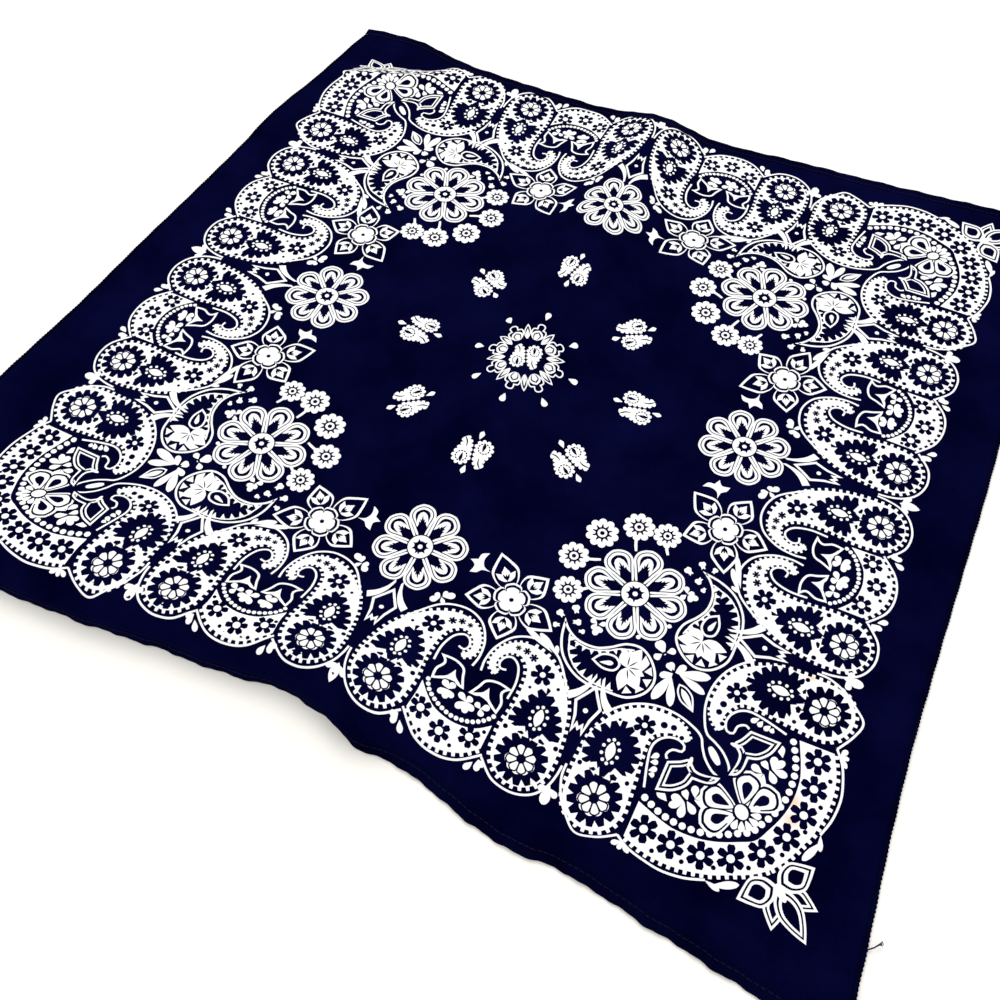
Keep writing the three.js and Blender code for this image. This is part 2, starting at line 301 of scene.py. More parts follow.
class BANDANA_PG_sewing(bpy.types.PropertyGroup):
    """Sizes and colour of the sewing thread."""
    stitch_length: length_field("Stitch length", "Length of one stitch of the hem", 0.0027)
    thread_width: length_field("Thread width", "Thickness of the sewing thread", 0.00038)
    thread: colour_field("Thread", "Colour of the sewing thread", "#14143C")


class BANDANA_PG_stage(bpy.types.PropertyGroup):
    """Light and floor."""
    key_power: bpy.props.FloatProperty(name="Window light", description="Power of the large soft light",
                                       default=14.0, min=0, unit="POWER")
    sky: bpy.props.FloatProperty(name="Room light", description="Strength of the even light",
                                 default=0.75, min=0, subtype="FACTOR")
    floor: colour_field("Table top", "Colour of the table top", "#F8F6F2")


def add_node(tree, kind, links=None, values=None, **settings):
    """One shader node with its settings, socket values and links from (node, output) pairs."""
    made = tree.nodes.new(kind)
    for name, value in settings.items():
        setattr(made, name, value)
    for socket, value in (values or {}).items():
        made.inputs[socket].default_value = value
    for socket, (source, output) in (links or {}).items():
        tree.links.new(source.outputs[output], made.inputs[socket])
    return made


def new_material(name, colour, roughness, sheen=0.0):
    """A material with one shader, whose colour is also its colour in the export's table."""
    material = bpy.data.materials.new(name)
    material.use_nodes = True
    material.diffuse_color = (*colour, 1)
    tree = material.node_tree
    shader = tree.nodes["Principled BSDF"]
    shader.inputs["Base Color"].default_value = (*colour, 1)
    shader.inputs["Roughness"].default_value = roughness
    shader.inputs["Specular IOR Level"].default_value = 0.0
    shader.inputs["Sheen Weight"].default_value = sheen
    shader.inputs["Sheen Roughness"].default_value = 0.45
    return material, tree, shader


def mix_colours(tree, source, output, first, second):
    """A mix from one colour to another by a node's output."""
    mix = add_node(tree, "ShaderNodeMix", {"Factor": (source, output)}, data_type="RGBA")
    mix.inputs[6].default_value = (*first, 1)
    mix.inputs[7].default_value = (*second, 1)
    return mix


def add_weave(tree, shader, pitch_mm, depth_mm):
    """Plain weave: warp threads over and under weft threads, from the cloth's own u, v in millimetres.

    Real thread spacing is about 0.4 mm, and it is drawn about twice as coarse so that it shows.
    """
    place = add_node(tree, "ShaderNodeUVMap", uv_map="cloth")
    band = math.pi / 10 / (2 * pitch_mm)
    warp, weft = [add_node(tree, "ShaderNodeTexWave", {"Vector": (place, "UV")},
                           {"Scale": band, "Distortion": 0.6, "Detail": 1.0, "Detail Scale": 0.4},
                           wave_type="BANDS", bands_direction=axis) for axis in "XY"]
    cross = add_node(tree, "ShaderNodeMath", {0: (warp, "Fac"), 1: (weft, "Fac")}, operation="SUBTRACT")
    over = add_node(tree, "ShaderNodeMath", {0: (cross, "Value")}, operation="ABSOLUTE")
    fuzz = add_node(tree, "ShaderNodeTexNoise", {"Vector": (place, "UV")},
                    {"Scale": 1.7, "Detail": 4.0, "Roughness": 0.65})
    height = add_node(tree, "ShaderNodeMath", {0: (over, "Value"), 1: (fuzz, "Fac")}, operation="ADD")
    bump = add_node(tree, "ShaderNodeBump", {"Height": (height, "Value")},
                    {"Strength": 0.55, "Distance": depth_mm * MM})
    tree.links.new(bump.outputs["Normal"], shader.inputs["Normal"])
    return place, fuzz


def vary_colour(tree, shader, place, fuzz, base, pale, patch_mm):
    """The dye a little paler in worn patches and where lint lies."""
    patch = add_node(tree, "ShaderNodeTexNoise", {"Vector": (place, "UV")},
                     {"Scale": 1 / patch_mm, "Detail": 5.0, "Roughness": 0.6})
    both = add_node(tree, "ShaderNodeMath", {0: (patch, "Fac"), 1: (fuzz, "Fac")}, operation="MULTIPLY")
    share = add_node(tree, "ShaderNodeMapRange", {"Value": (both, "Value")},
                     {"From Min": 0.17, "From Max": 0.4, "To Min": 0.0, "To Max": 1.0})
    mix = mix_colours(tree, share, "Result", base, pale)
    tree.links.new(mix.outputs[2], shader.inputs["Base Color"])
    return mix


# Plain-woven cotton, vat dyed navy: matt, almost black, with a faint bluish bloom of fibre ends
def navy_cotton(name, colour, pitch_mm, depth_mm=0.12):
    material, tree, shader = new_material(name, colour, 0.9, 0.02)
    shader.inputs["Sheen Tint"].default_value = srgb("#7A80E8")
    place, fuzz = add_weave(tree, shader, pitch_mm, depth_mm)
    pale = [c * 1.6 + bloom for c, bloom in zip(colour, (0.0018, 0.0022, 0.0135))]
    vary_colour(tree, shader, place, fuzz, colour, pale, 55)
    return material


# Discharge print on cotton: the bleached threads keep the weave, matt and slightly uneven white
def white_print(colour, stain, pitch_mm):
    material, tree, shader = new_material("discharge_print_on_cotton", colour, 0.85, 0.05)
    place, fuzz = add_weave(tree, shader, pitch_mm, 0.1)
    grey = [c * 0.86 for c in colour]
    mix = vary_colour(tree, shader, place, fuzz, colour, grey, 30)
    for u, v, across, along in STAINS:
        spot = add_node(tree, "ShaderNodeMapping", {"Vector": (place, "UV")}, vector_type="TEXTURE")
        spot.inputs["Location"].default_value = (u, v, 0)
        spot.inputs["Scale"].default_value = (across, along, 1)
        reach = add_node(tree, "ShaderNodeVectorMath", {0: (spot, "Vector")}, operation="LENGTH")
        ragged = add_node(tree, "ShaderNodeMath", {0: (reach, "Value"), 1: (fuzz, "Fac")}, operation="ADD")
        share = add_node(tree, "ShaderNodeMapRange", {"Value": (ragged, "Value")},
                         {"From Min": 0.7, "From Max": 1.75, "To Min": 0.75, "To Max": 0.0})
        stained = add_node(tree, "ShaderNodeMix", {"Factor": (share, "Result"), 6: (mix, 2)},
                           data_type="RGBA")
        stained.inputs[7].default_value = (*stain, 1)
        mix = stained
    tree.links.new(mix.outputs[2], shader.inputs["Base Color"])
    return material


# Mercerised sewing thread: a little smoother and glossier than the cloth
def sewing_thread(colour):
    material, tree, shader = new_material("cotton_sewing_thread", colour, 0.6, 0.1)
    place = add_node(tree, "ShaderNodeTexCoord")
    twist = add_node(tree, "ShaderNodeTexNoise", {"Vector": (place, "Object")},
                     {"Scale": 2500.0, "Detail": 2.0})
    bump = add_node(tree, "ShaderNodeBump", {"Height": (twist, "Fac")},
                    {"Strength": 0.4, "Distance": 0.00005})
    tree.links.new(bump.outputs["Normal"], shader.inputs["Normal"])
    return material


# Painted table top: smooth, nearly white
def table_top(colour):
    material, tree, shader = new_material("painted_table_top", colour, 0.6)
    place = add_node(tree, "ShaderNodeTexCoord")
    dust = add_node(tree, "ShaderNodeTexNoise", {"Vector": (place, "Object")}, {"Scale": 6.0, "Detail": 6.0})
    mix = mix_colours(tree, dust, "Fac", colour, [c * 0.97 for c in colour])
    tree.links.new(mix.outputs[2], shader.inputs["Base Color"])
    return material


def deselect_all():
    if bpy.context.mode != "OBJECT":
        bpy.ops.object.mode_set(mode="OBJECT")
    bpy.ops.object.select_all(action="DESELECT")


def select_only(piece):
    deselect_all()
    piece.select_set(True)
    bpy.context.view_layer.objects.active = piece


def grid_sheet(name, u, v, lift):
    """A sheet of quads over rows of u, v, at a lift over the cloth's underside."""
    rows, columns = u.shape
    deselect_all()
    bpy.ops.mesh.primitive_grid_add(x_subdivisions=columns - 1, y_subdivisions=rows - 1, size=1,
                                    calc_uvs=True)
    piece = bpy.context.object
    piece.name = name
    piece.data.name = name
    count = len(piece.data.vertices)
    flat = np.empty(count * 3)
    piece.data.vertices.foreach_get("co", flat)
    flat = flat.reshape(-1, 3)
    column = np.rint((flat[:, 0] + 0.5) * (columns - 1)).astype(int)
    row = np.rint((flat[:, 1] + 0.5) * (rows - 1)).astype(int)
    cloth_u = u[row, column]
    cloth_v = v[row, column]
    lifts = np.broadcast_to(lift, u.shape)[row, column]
    piece.data.vertices.foreach_set("co", on_cloth(cloth_u, cloth_v, lifts).ravel())
    write_uv(piece, cloth_u, cloth_v)
    return piece


def mesh_piece(name, places, faces):
    """A smooth-shaded piece from its corners and faces."""
    mesh = bpy.data.meshes.new(name)
    mesh.from_pydata(places.tolist(), [], faces)
    piece = bpy.data.objects.new(name, mesh)
    bpy.context.scene.collection.objects.link(piece)
    mesh.shade_smooth()
    return piece


def write_uv(piece, cloth_u, cloth_v):
    """The cloth's own measure in millimetres as the piece's UV map."""
    mesh = piece.data
    layer = mesh.uv_layers.active or mesh.uv_layers.new(name="cloth")
    layer.name = "cloth"
    corner = np.empty(len(mesh.loops), int)
    mesh.loops.foreach_get("vertex_index", corner)
    layer.data.foreach_set("uv", np.stack([cloth_u[corner], cloth_v[corner]], -1).astype(np.float32).ravel())


def thicken(piece, thickness):
    """A wall below the sheet, applied."""
    select_only(piece)
    wall = piece.modifiers.new("wall", "SOLIDIFY")
    wall.thickness = thickness
    wall.offset = -1
    wall.use_even_offset = False
    wall.use_rim = True
    bpy.ops.object.modifier_apply(modifier=wall.name)
    bpy.ops.object.shade_smooth()


def finish_piece(piece, material, slot, *nodes):
    piece.data.materials.clear()
    piece.data.materials.append(material)
    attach(piece, "root")
    if nodes:
        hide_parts(*nodes)


def spaced(start, end, cells, power=1.0):
    return start + (end - start) * (np.linspace(0, 1, cells + 1) ** power)


# The panel's grid: columns left of, over and right of the band of the middle fold, and rows near, between and
# beyond EVEN_HALF, of which the near ones crowd towards the lifted edge
FOLD_BAND = (-60, 52)
COLUMNS = (66, 48, 68)
EVEN_HALF = 200
NEAR_ROWS = 34
MIDDLE_ROWS = 116
FAR_ROWS = 22
CROWDING = 1.5


def column_list():
    """Grid columns, closer together over the middle fold."""
    places = (-HALF_SPAN, *FOLD_BAND, HALF_SPAN)
    bands = [spaced(start, end, cells)[:-1] for start, end, cells in zip(places, places[1:], COLUMNS)]
    return np.concatenate([*bands, [HALF_SPAN]])


class BANDANA_OT_cloth(bpy.types.Operator):
    """Make the printed panel as one continuous thin cloth"""
    bl_idname = "bandana.cloth"
    bl_label = "Cloth"

    def execute(self, context):
        sizes = context.scene.bandana_cloth
        columns = column_list()
        near = spaced(0, 1, NEAR_ROWS, CROWDING)[:-1]
        middle = spaced(0, 1, MIDDLE_ROWS)[:-1]
        far = spaced(0, 1, FAR_ROWS)
        nominal = np.concatenate([spaced(-HALF_SPAN, -EVEN_HALF, NEAR_ROWS, CROWDING)[:-1],
                                  spaced(-EVEN_HALF, EVEN_HALF, MIDDLE_ROWS)[:-1],
                                  spaced(EVEN_HALF, HALF_SPAN, FAR_ROWS)])
        u = edge_u(columns[None, :], nominal[:, None], SELVEDGE_WIDTH - UNDER_SELVEDGE)
        u = np.broadcast_to(u, (len(nominal), len(columns))).copy()
        tucked = HEM_WIDTH - UNDER_HEM
        low = read_table(NEAR_EDGE, u[:NEAR_ROWS], 1) + tucked
        high = read_table(FAR_EDGE, u[NEAR_ROWS + MIDDLE_ROWS:], 1) - tucked
        v = np.concatenate([
            low + (-EVEN_HALF - low) * near[:, None],
            np.broadcast_to((-EVEN_HALF + 2 * EVEN_HALF * middle)[:, None], (MIDDLE_ROWS, len(columns))),
            EVEN_HALF + (high - EVEN_HALF) * far[:, None],
        ])
        piece = grid_sheet("printed_cloth", u, v, sizes.thickness / MM)
        thicken(piece, sizes.thickness)
        finish_piece(piece, navy_cotton("navy_plain_woven_cotton", sizes.navy, sizes.thread_pitch / MM),
                     "printed_cotton", "printed_panel")
        return {"FINISHED"}


def closed_strip(name, u, v, lift):
    """A hem or selvedge: a sheet whose first and last row meet, with its ends closed."""
    piece = grid_sheet(name, u, v, lift)
    select_only(piece)
    bpy.ops.object.mode_set(mode="EDIT")
    bpy.ops.mesh.select_all(action="SELECT")
    bpy.ops.mesh.remove_doubles(threshold=0.000001)
    bpy.ops.mesh.select_all(action="DESELECT")
    bpy.ops.mesh.select_non_manifold()
    bpy.ops.mesh.fill_holes(sides=0)
    bpy.ops.mesh.select_all(action="SELECT")
    bpy.ops.mesh.normals_make_consistent(inside=False)
    bpy.ops.object.mode_set(mode="OBJECT")
    bpy.ops.object.shade_smooth()
    return piece


# Across a hem, from its outer fold: distance from the edge and height, in shares of its width and thickness.
# The fold bulges, the stitch line pulls it down, and its inner lip lies over the panel.
HEM_PROFILE = (
    (0.02, 0.30), (0.00, 0.50), (0.03, 0.78), (0.12, 0.96), (0.30, 1.00), (0.50, 0.90), (0.66, 0.72),
    (0.75, 0.60), (0.84, 0.72), (0.94, 0.66), (1.00, 0.52), (0.99, 0.44), (0.86, 0.42), (0.84, 0.20),
    (0.80, 0.02), (0.50, 0.00), (0.16, 0.00), (0.06, 0.10), (0.02, 0.30),
)
HEM_CELLS = 520

# Across a selvedge, from its outer edge: distance from the edge in shares of its width, height in millimetres
SELVEDGE_PROFILE = (
    (0.0, 0.5), (0.06, 0.85), (0.4, 0.8), (1.0, 0.52), (1.0, 0.42), (0.72, 0.40), (0.66, 0.05), (0.3, 0.0),
    (0.06, 0.12), (0.0, 0.5),
)
SELVEDGE_CELLS = 1300
LOOP_PITCH = 2.3
LOOP_REACH = 0.22
EDGE_BACK = 0.2


class BANDANA_OT_hems(bpy.types.Operator):
    """Make the two folded hems"""
    bl_idname = "bandana.hems"
    bl_label = "Hems"

    def execute(self, context):
        sizes = context.scene.bandana_cloth
        # the hems get a darker copy of the navy cotton: painted shade of their faces turned away from the
        # light
        material = navy_cotton("double_folded_navy_cotton_painted_shade", sizes.hem_navy_painted_shade, sizes.thread_pitch / MM)
        thickness = sizes.hem_thickness / MM
        columns = spaced(-HALF_SPAN, HALF_SPAN, HEM_CELLS)
        for name, edge, side in (("near_hem", NEAR_EDGE, -1), ("far_hem", FAR_EDGE, 1)):
            profile = HEM_PROFILE if side < 0 else HEM_PROFILE[::-1]
            line = edge_u(columns, side * HALF_SPAN, 0)
            u = np.stack([line for _ in profile])
            reach = read_table(edge, line, 1)
            v = np.stack([reach - side * HEM_WIDTH * share for share, _ in profile])
            lift = np.array([height for _, height in profile])[:, None] * thickness
            piece = closed_strip("folded_" + name, u, v, lift)
            finish_piece(piece, material, "hem_cotton", name)
        return {"FINISHED"}


class BANDANA_OT_selvedges(bpy.types.Operator):
    """Make the two woven edges with their small weft loops"""
    bl_idname = "bandana.selvedges"
    bl_label = "Selvedges"

    def execute(self, context):
        sizes = context.scene.bandana_cloth
        material = navy_cotton("close_woven_navy_selvedge", sizes.selvedge_navy, sizes.thread_pitch / MM, 0.2)
        share = spaced(0, 1, SELVEDGE_CELLS)
        for name, side, edge in (("left_selvedge", -1, LEFT_EDGE), ("right_selvedge", 1, RIGHT_EDGE)):
            low = read_table(NEAR_EDGE, read_table(edge, -HALF_SPAN), 1) + HEM_WIDTH + SELVEDGE_GAP
            high = read_table(FAR_EDGE, read_table(edge, HALF_SPAN), 1) - HEM_WIDTH - SELVEDGE_GAP
            v_line = low + (high - low) * share
            nominal = np.interp(v_line, (low, -EVEN_HALF, EVEN_HALF, high),
                                (-HALF_SPAN, -EVEN_HALF, EVEN_HALF, HALF_SPAN))
            loop = LOOP_REACH * np.sin(v_line * math.tau / LOOP_PITCH) + 0.12 * np.sin(v_line / 3.7)
            rows = SELVEDGE_PROFILE if side < 0 else SELVEDGE_PROFILE[::-1]
            v = np.stack([v_line for _ in rows], 1)
            outer = read_table(edge, nominal)
            u = np.stack([outer - side * (SELVEDGE_WIDTH * across + EDGE_BACK - loop * (1 - across))
                          for across, _ in rows], 1)
            lift = np.array([height for _, height in rows])[None, :]
            piece = closed_strip("woven_" + name, u, v, lift)
            finish_piece(piece, material, "selvedge_cotton", name)
        return {"FINISHED"}


STITCH_SHARE = 0.75
# the loose thread: places in millimetres of the pattern's frame
TAIL = ((284.0, -247.3, 0.7), (286.0, -246.6, 1.6), (287.6, -244.6, 2.0), (288.8, -242.6, 1.6))
# where its frayed fibres end, from the thread's own end
FIBRE_TIPS = ((1.6, 1.0, 0.5), (1.3, 1.7, -0.4), (2.0, 0.3, 0.7), (0.8, 1.8, 0.8), (1.7, -0.6, -0.2))


def thread_piece(name, places, radius):
    """A thread through the given places, in metres."""
    deselect_all()
    bpy.ops.curve.primitive_nurbs_path_add(location=(0, 0, 0))
    piece = bpy.context.object
    piece.name = name
    spline = piece.data.splines[0]
    for k, point in enumerate(spline.points):
        point.co = (*places[min(k, len(places) - 1)], 1)
    spline.use_endpoint_u = True
    spline.resolution_u = 3
    piece.data.bevel_depth = radius
    piece.data.bevel_resolution = 1
    piece.data.use_fill_caps = True
    bpy.ops.object.convert(target="MESH")
    return bpy.context.object


def stitch_row(edge, side, sizes, sewing):
    """The stitches of one hem: their middles, and the ways along and across them and up."""
    pitch = sewing.stitch_length / MM + 0.5
    columns = np.arange(-HALF_SPAN + 6, HALF_SPAN - 6, pitch)
    u = edge_u(columns, side * HALF_SPAN, 0)
    v = read_table(edge, u, 1) - side * HEM_WIDTH * STITCH_SHARE
    lift = np.full(len(u), 0.62 * sizes.hem_thickness / MM)
    middle = on_cloth(u, v, lift)
    along = on_cloth(u + 1, read_table(edge, u + 1, 1) - side * HEM_WIDTH * STITCH_SHARE, lift) - middle
    along /= np.linalg.norm(along, axis=1, keepdims=True)
    up = on_cloth(u, v, lift + 1) - middle
    up /= np.linalg.norm(up, axis=1, keepdims=True)
    return middle, along, np.cross(up, along), up


class BANDANA_OT_sewing(bpy.types.Operator):
    """Sew the hems and leave a loose thread at the near right corner"""
    bl_idname = "bandana.sewing"
    bl_label = "Sewing"

    def execute(self, context):
        sizes = context.scene.bandana_cloth
        sewing = context.scene.bandana_sewing
        material = sewing_thread(sewing.thread)
        deselect_all()
        bpy.ops.mesh.primitive_uv_sphere_add(segments=6, ring_count=5, radius=0.5)
        stitch = bpy.context.object
        shape = np.array([tuple(vertex.co) for vertex in stitch.data.vertices])
        faces = [tuple(face.vertices) for face in stitch.data.polygons]
        bpy.data.objects.remove(stitch)
        shape *= (sewing.thread_width * 0.8, sewing.thread_width, sewing.stitch_length)
        for name, edge, side in (("near_stitching", NEAR_EDGE, -1), ("far_stitching", FAR_EDGE, 1)):
            middle, along, across, up = stitch_row(edge, side, sizes, sewing)
            places = (middle[:, None] + shape[None, :, 2:3] * along[:, None] + shape[None, :,
                                                                                     1:2] * across[:, None]
                      + shape[None, :, 0:1] * up[:, None])
            count = len(shape)
            copies = [[k * count + corner for corner in face] for k in range(len(middle)) for face in faces]
            finish_piece(mesh_piece(name, places.reshape(-1, 3), copies), material, "hem_cotton")
        self.add_tail(sewing, material)
        return {"FINISHED"}

    def add_tail(self, sewing, material):
        """The loose thread end, with its frayed fibres."""
        places = [(np.array((x - CENTRE_U, y - CENTRE_V, z)) * MM) for x, y, z in TAIL]
        thread = thread_piece("thread_tail", places, sewing.thread_width * 0.9)
        fibres = []
        for k, tip in enumerate(FIBRE_TIPS):
            start = places[2] * (1 - 0.18 * k) + places[3] * 0.18 * k
            end = places[3] + np.array(tip) * MM * 0.8
            fibres.append(thread_piece("fibre", [start, (start + end) / 2 + np.array((0, 0, 0.0004)), end,
                                                 end],
                                       sewing.thread_width * 0.4))
        deselect_all()
        for piece in (*fibres, thread):
            piece.select_set(True)
        bpy.context.view_layer.objects.active = thread
        bpy.ops.object.join()
        bpy.ops.object.shade_smooth()
        finish_piece(thread, material, "hem_cotton")


# The print is drawn flat. Points are complex numbers in millimetres of pressed cloth, a shape is
# (outline, inked), and a later shape covers an earlier one.
STEP = 1.2
LINE = 1.2


def points(*pairs):
    return [complex(x, y) for x, y in pairs]


def arc(centre, radius, start, end):
    count = max(3, int(abs(math.radians(end - start)) * radius / STEP) + 1)
    angles = [math.radians(start + (end - start) * k / count) for k in range(count + 1)]
    return [centre + cmath.rect(radius, angle) for angle in angles]


def oval(centre, across, along, angle=0.0):
    count = max(8, int(math.tau * max(across, along) / STEP))
    spin = cmath.exp(1j * math.radians(angle))
    turns = [math.tau * k / count for k in range(count)]
    return [centre + spin * complex(across * math.cos(turn), along * math.sin(turn)) for turn in turns]


def dot(centre, radius, inked=True):
    return [(oval(centre, radius, radius), inked)]


def placed(shapes, at=0j, angle=0.0, size=1.0, flip=False):
    """Shapes mirrored left to right if asked, then scaled, turned and moved."""
    spin = cmath.exp(1j * math.radians(angle)) * size
    done = []
    for outline, inked in shapes:
        line = [complex(-p.real, p.imag) for p in outline] if flip else outline
        done.append(([at + p * spin for p in line], inked))
    return done


def around(shapes, count, start=0.0, sweep=360.0):
    """One motif repeated round the origin."""
    return [shape for k in range(count) for shape in placed(shapes, 0, start + sweep * k / count)]


def smooth_rows(rows):
    """Rows of numbers read smoothly between one another, evenly along their first two columns."""
    fine = []
    for k in range(len(rows) - 1):
        before, a, b, after = rows[max(k - 1, 0)], rows[k], rows[k + 1], rows[min(k + 2, len(rows) - 1)]
        count = max(2, int(math.hypot(b[0] - a[0], b[1] - a[1]) / STEP))
        for n in range(count):
            t = n / count
            fine.append([0.5 * (2 * q + (r - p) * t + (2 * p - 5 * q + 4 * r - s) * t ** 2
                                + (3 * q - p - 3 * r + s) * t ** 3) for p, q, r,
                         s in zip(before, a, b, after)])
    fine.append(list(rows[-1]))
    return fine


def smooth(*pairs):
    return [complex(x, y) for x, y in smooth_rows(pairs)]


def smooth_loop(*pairs):
    """A closed smooth line through all its points."""
    rows = smooth_rows((pairs[-2], pairs[-1], *pairs, pairs[0], pairs[1]))
    line = [complex(x, y) for x, y in rows]
    first = min(range(len(line) // 2), key=lambda k: abs(line[k] - complex(*pairs[0])))
    last = max(range(len(line) // 2, len(line)), key=lambda k: -abs(line[k] - complex(*pairs[0])))
    return line[first:last]


def headings(line):
    way = []
    for k in range(len(line)):
        d = line[min(k + 1, len(line) - 1)] - line[max(k - 1, 0)]
        way.append(d / (abs(d) or 1))
    return way


def stroke(line, width=LINE, ends=(1.0, 1.0)):
    """A line as a band, with its ends narrowed to shares of the width."""
    last = len(line) - 1
    left, right = [], []
    for k, (p, d) in enumerate(zip(line, headings(line))):
        share = min(end + (1 - end) * min(1, 3 * steps / last) for end, steps in zip(ends, (k, last - k)))
        left.append(p + 1j * d * width * share / 2)
        right.append(p - 1j * d * width * share / 2)
    return [(left + right[::-1], True)]


def covered(shapes):
    return [(outline, False) for outline, _ in shapes]


def is_left_turning(loop):
    return sum((a.conjugate() * b).imag for a, b in zip(loop, loop[1:] + loop[:1])) > 0


def inset(loop, distance):
    """A closed outline moved inwards."""
    loop = [p for before, p in zip(loop[-1:] + loop[:-1], loop) if abs(p - before) > 0.15]
    side = 1 if is_left_turning(loop) else -1
    moved = []
    for before, p, after in zip(loop[-1:] + loop[:-1], loop, loop[1:] + loop[:1]):
        a = (p - before) / (abs(p - before) or 1)
        b = (after - p) / (abs(after - p) or 1)
        mid = a + b
        mid = mid / (abs(mid) or 1)
        sharp = max(0.45, (a.conjugate() * mid).real)
        moved.append(p + 1j * mid * side * distance / sharp)
    return moved


def outlined(loop, *depths):
    """A white outline with a dark inside, then white and dark in turn at each further depth."""
    shapes = [(loop, True)]
    inked = False
    for depth in depths:
        shapes.append((inset(loop, depth), inked))
        inked = not inked
    return shapes


def marks(line, pitch):
    """Evenly spaced places on a line, each with the line's heading."""
    run = [0.0]
    for a, b in zip(line, line[1:]):
        run.append(run[-1] + abs(b - a))
    count = max(2, round(run[-1] / pitch))
    found = []
    k = 0
    for n in range(count):
        goal = run[-1] * (n + 0.5) / count
        while k < len(line) - 2 and run[k + 1] < goal:
            k += 1
        d = line[k + 1] - line[k]
        found.append((line[k] + d * (goal - run[k]) / ((run[k + 1] - run[k]) or 1), d / (abs(d) or 1)))
    return found


def square_teeth(line, pitch=4.0, width=2.1, height=1.9, inked=True):
    """Square teeth to the left of a line."""
    shapes = []
    for p, d in marks(line, pitch):
        foot = p - 1j * d * 0.6
        top = p + 1j * d * height
        tooth = [foot - d * width / 2, foot + d * width / 2, top + d * width * 0.4, top - d * width * 0.4]
        shapes.append((tooth, inked))
    return shapes


def pointed_teeth(line, pitch, width, height, inked=True):
    """Pointed teeth to the left of a line."""
    shapes = []
    for p, d in marks(line, pitch):
        foot = p - 1j * d * 0.5
        shapes.append(([foot - d * width / 2, foot + d * width / 2, p + 1j * d * height], inked))
    return shapes


def beads(line, pitch, radius):
    return [shape for p, _ in marks(line, pitch) for shape in dot(p, radius)]


def closed(side):
    """One side of an outline joined to its mirror image across the x axis."""
    return side + [p.conjugate() for p in side[-2:0:-1]]


def mirrored(*pairs):
    """A smooth closed outline with the x axis as its mirror line, from one side's points."""
    return closed(smooth(*pairs))


def joined(*curves):
    """Smooth curves that meet at corners, each later one given without the point that it starts from."""
    line = smooth(*curves[0])
    for before, pairs in zip(curves, curves[1:]):
        line += smooth(before[-1], *pairs)[1:]
    return line


def petal(length, width, root=0.0, full=0.64):
    """A round-ended petal along x."""
    reach = length - root
    return mirrored((root, 0), (root + reach * 0.22, width * 0.22), (root + reach * full, width / 2),
                    (root + reach * 0.9, width * 0.34), (length, 0))


def leaf(length, width, root=0.0, full=0.45):
    """A leaf along x with a pointed tip."""
    reach = length - root
    return mirrored((root, 0), (root + reach * 0.18, width * 0.36), (root + reach * full, width / 2),
                    (root + reach * 0.75, width * 0.3), (length, 0))


def nested_leaf(length, width, full, *depths):
    """A white leaf with smaller ones inside it, dark and white in turn."""
    shapes = []
    for k, depth in enumerate((0, *depths)):
        shapes.append((leaf(length - 1.7 * depth, width - 2 * depth, 1.7 * depth, full), k % 2 == 0))
    return shapes


def fan(x, y, *leaves):
    """White leaves from one foot at x, y, each given as (tip x, tip y, width)."""
    shapes = []
    foot = complex(x, y)
    for tip_x, tip_y, width in leaves:
        reach = complex(tip_x, tip_y) - foot
        blade = petal(abs(reach), width, 0, 0.6)
        shapes += placed([(blade, True)], foot, math.degrees(cmath.phase(reach)))
    return shapes


def three_lobes(length, width):
    """A small white three-lobed leaf along x, its lobes parted by dark slits."""
    shapes = placed([(leaf(length, width * 0.46, 0, 0.6), True)], 0)
    for side in (-1, 1):
        shapes += placed([(leaf(length * 0.86, width * 0.36, 0, 0.55), True)], 0, 44 * side)
        shapes += placed([(leaf(length * 0.55, width * 0.12, length * 0.1, 0.5), False)], 0, 21 * side)
    return shapes + [(leaf(length * 0.5, width * 0.12, 0, 0.5), False)]


def scaled(size, *pairs):
    return [(x * size, y * size) for x, y in pairs]


def eye(radius):
    """A white disc with a dark star of eight points round a white dot."""
    point = points(*scaled(radius, (0.3, -0.18), (0.72, 0), (0.3, 0.18)))
    return dot(0, radius) + dot(0, radius * 0.5, False) + around([(point, False)], 8, 11) + dot(0,
                                                                                                radius * 0.2)


def round_flower(radius, eye_radius, start):
    """A big flower of eight double-outlined petals, each with a dark flame under a jagged white arch."""
    petal_line = mirrored(*scaled(radius, (0.12, 0), (0.3, 0.114), (0.5, 0.2), (0.7, 0.282), (0.86, 0.25),
                                  (0.96, 0.14), (0.998, 0.03), (1, 0)))
    heart = mirrored(*scaled(radius, (0.2, 0), (0.28, 0.06), (0.42, 0.1), (0.58, 0.128), (0.72, 0.16),
                             (0.81, 0.135), (0.86, 0.06), (0.874, 0)))
    arch = closed(points(*scaled(radius, (0.815, 0), (0.795, 0.05), (0.735, 0.098), (0.63, 0.118),
                                 (0.5, 0.126), (0.455, 0.104), (0.53, 0.074), (0.59, 0.082), (0.565, 0.04),
                                 (0.65, 0.052), (0.62, 0.022), (0.742, 0))))
    shapes = []
    for outline, inked in ((petal_line, True), (inset(petal_line, 1.35), False),
                           (inset(petal_line, 1.95), True),
                           (heart, False), (arch, True)):
        shapes += around([(outline, inked)], 8, start)
    return shapes + dot(0, eye_radius + 0.7, False) + eye(eye_radius)


def small_daisy(radius):
    """A scalloped white daisy with a dark spiky ring and a dark eye."""
    spike = points(*scaled(radius, (0.34, -0.09), (0.62, -0.03), (0.62, 0.03), (0.34, 0.09)))
    shapes = dot(0, radius * 0.8) + around(dot(radius * 0.78, radius * 0.25), 10)
    shapes += dot(0, radius * 0.42, False) + around([(spike, False)], 10)
    return shapes + dot(0, radius * 0.3) + dot(0, radius * 0.15, False)


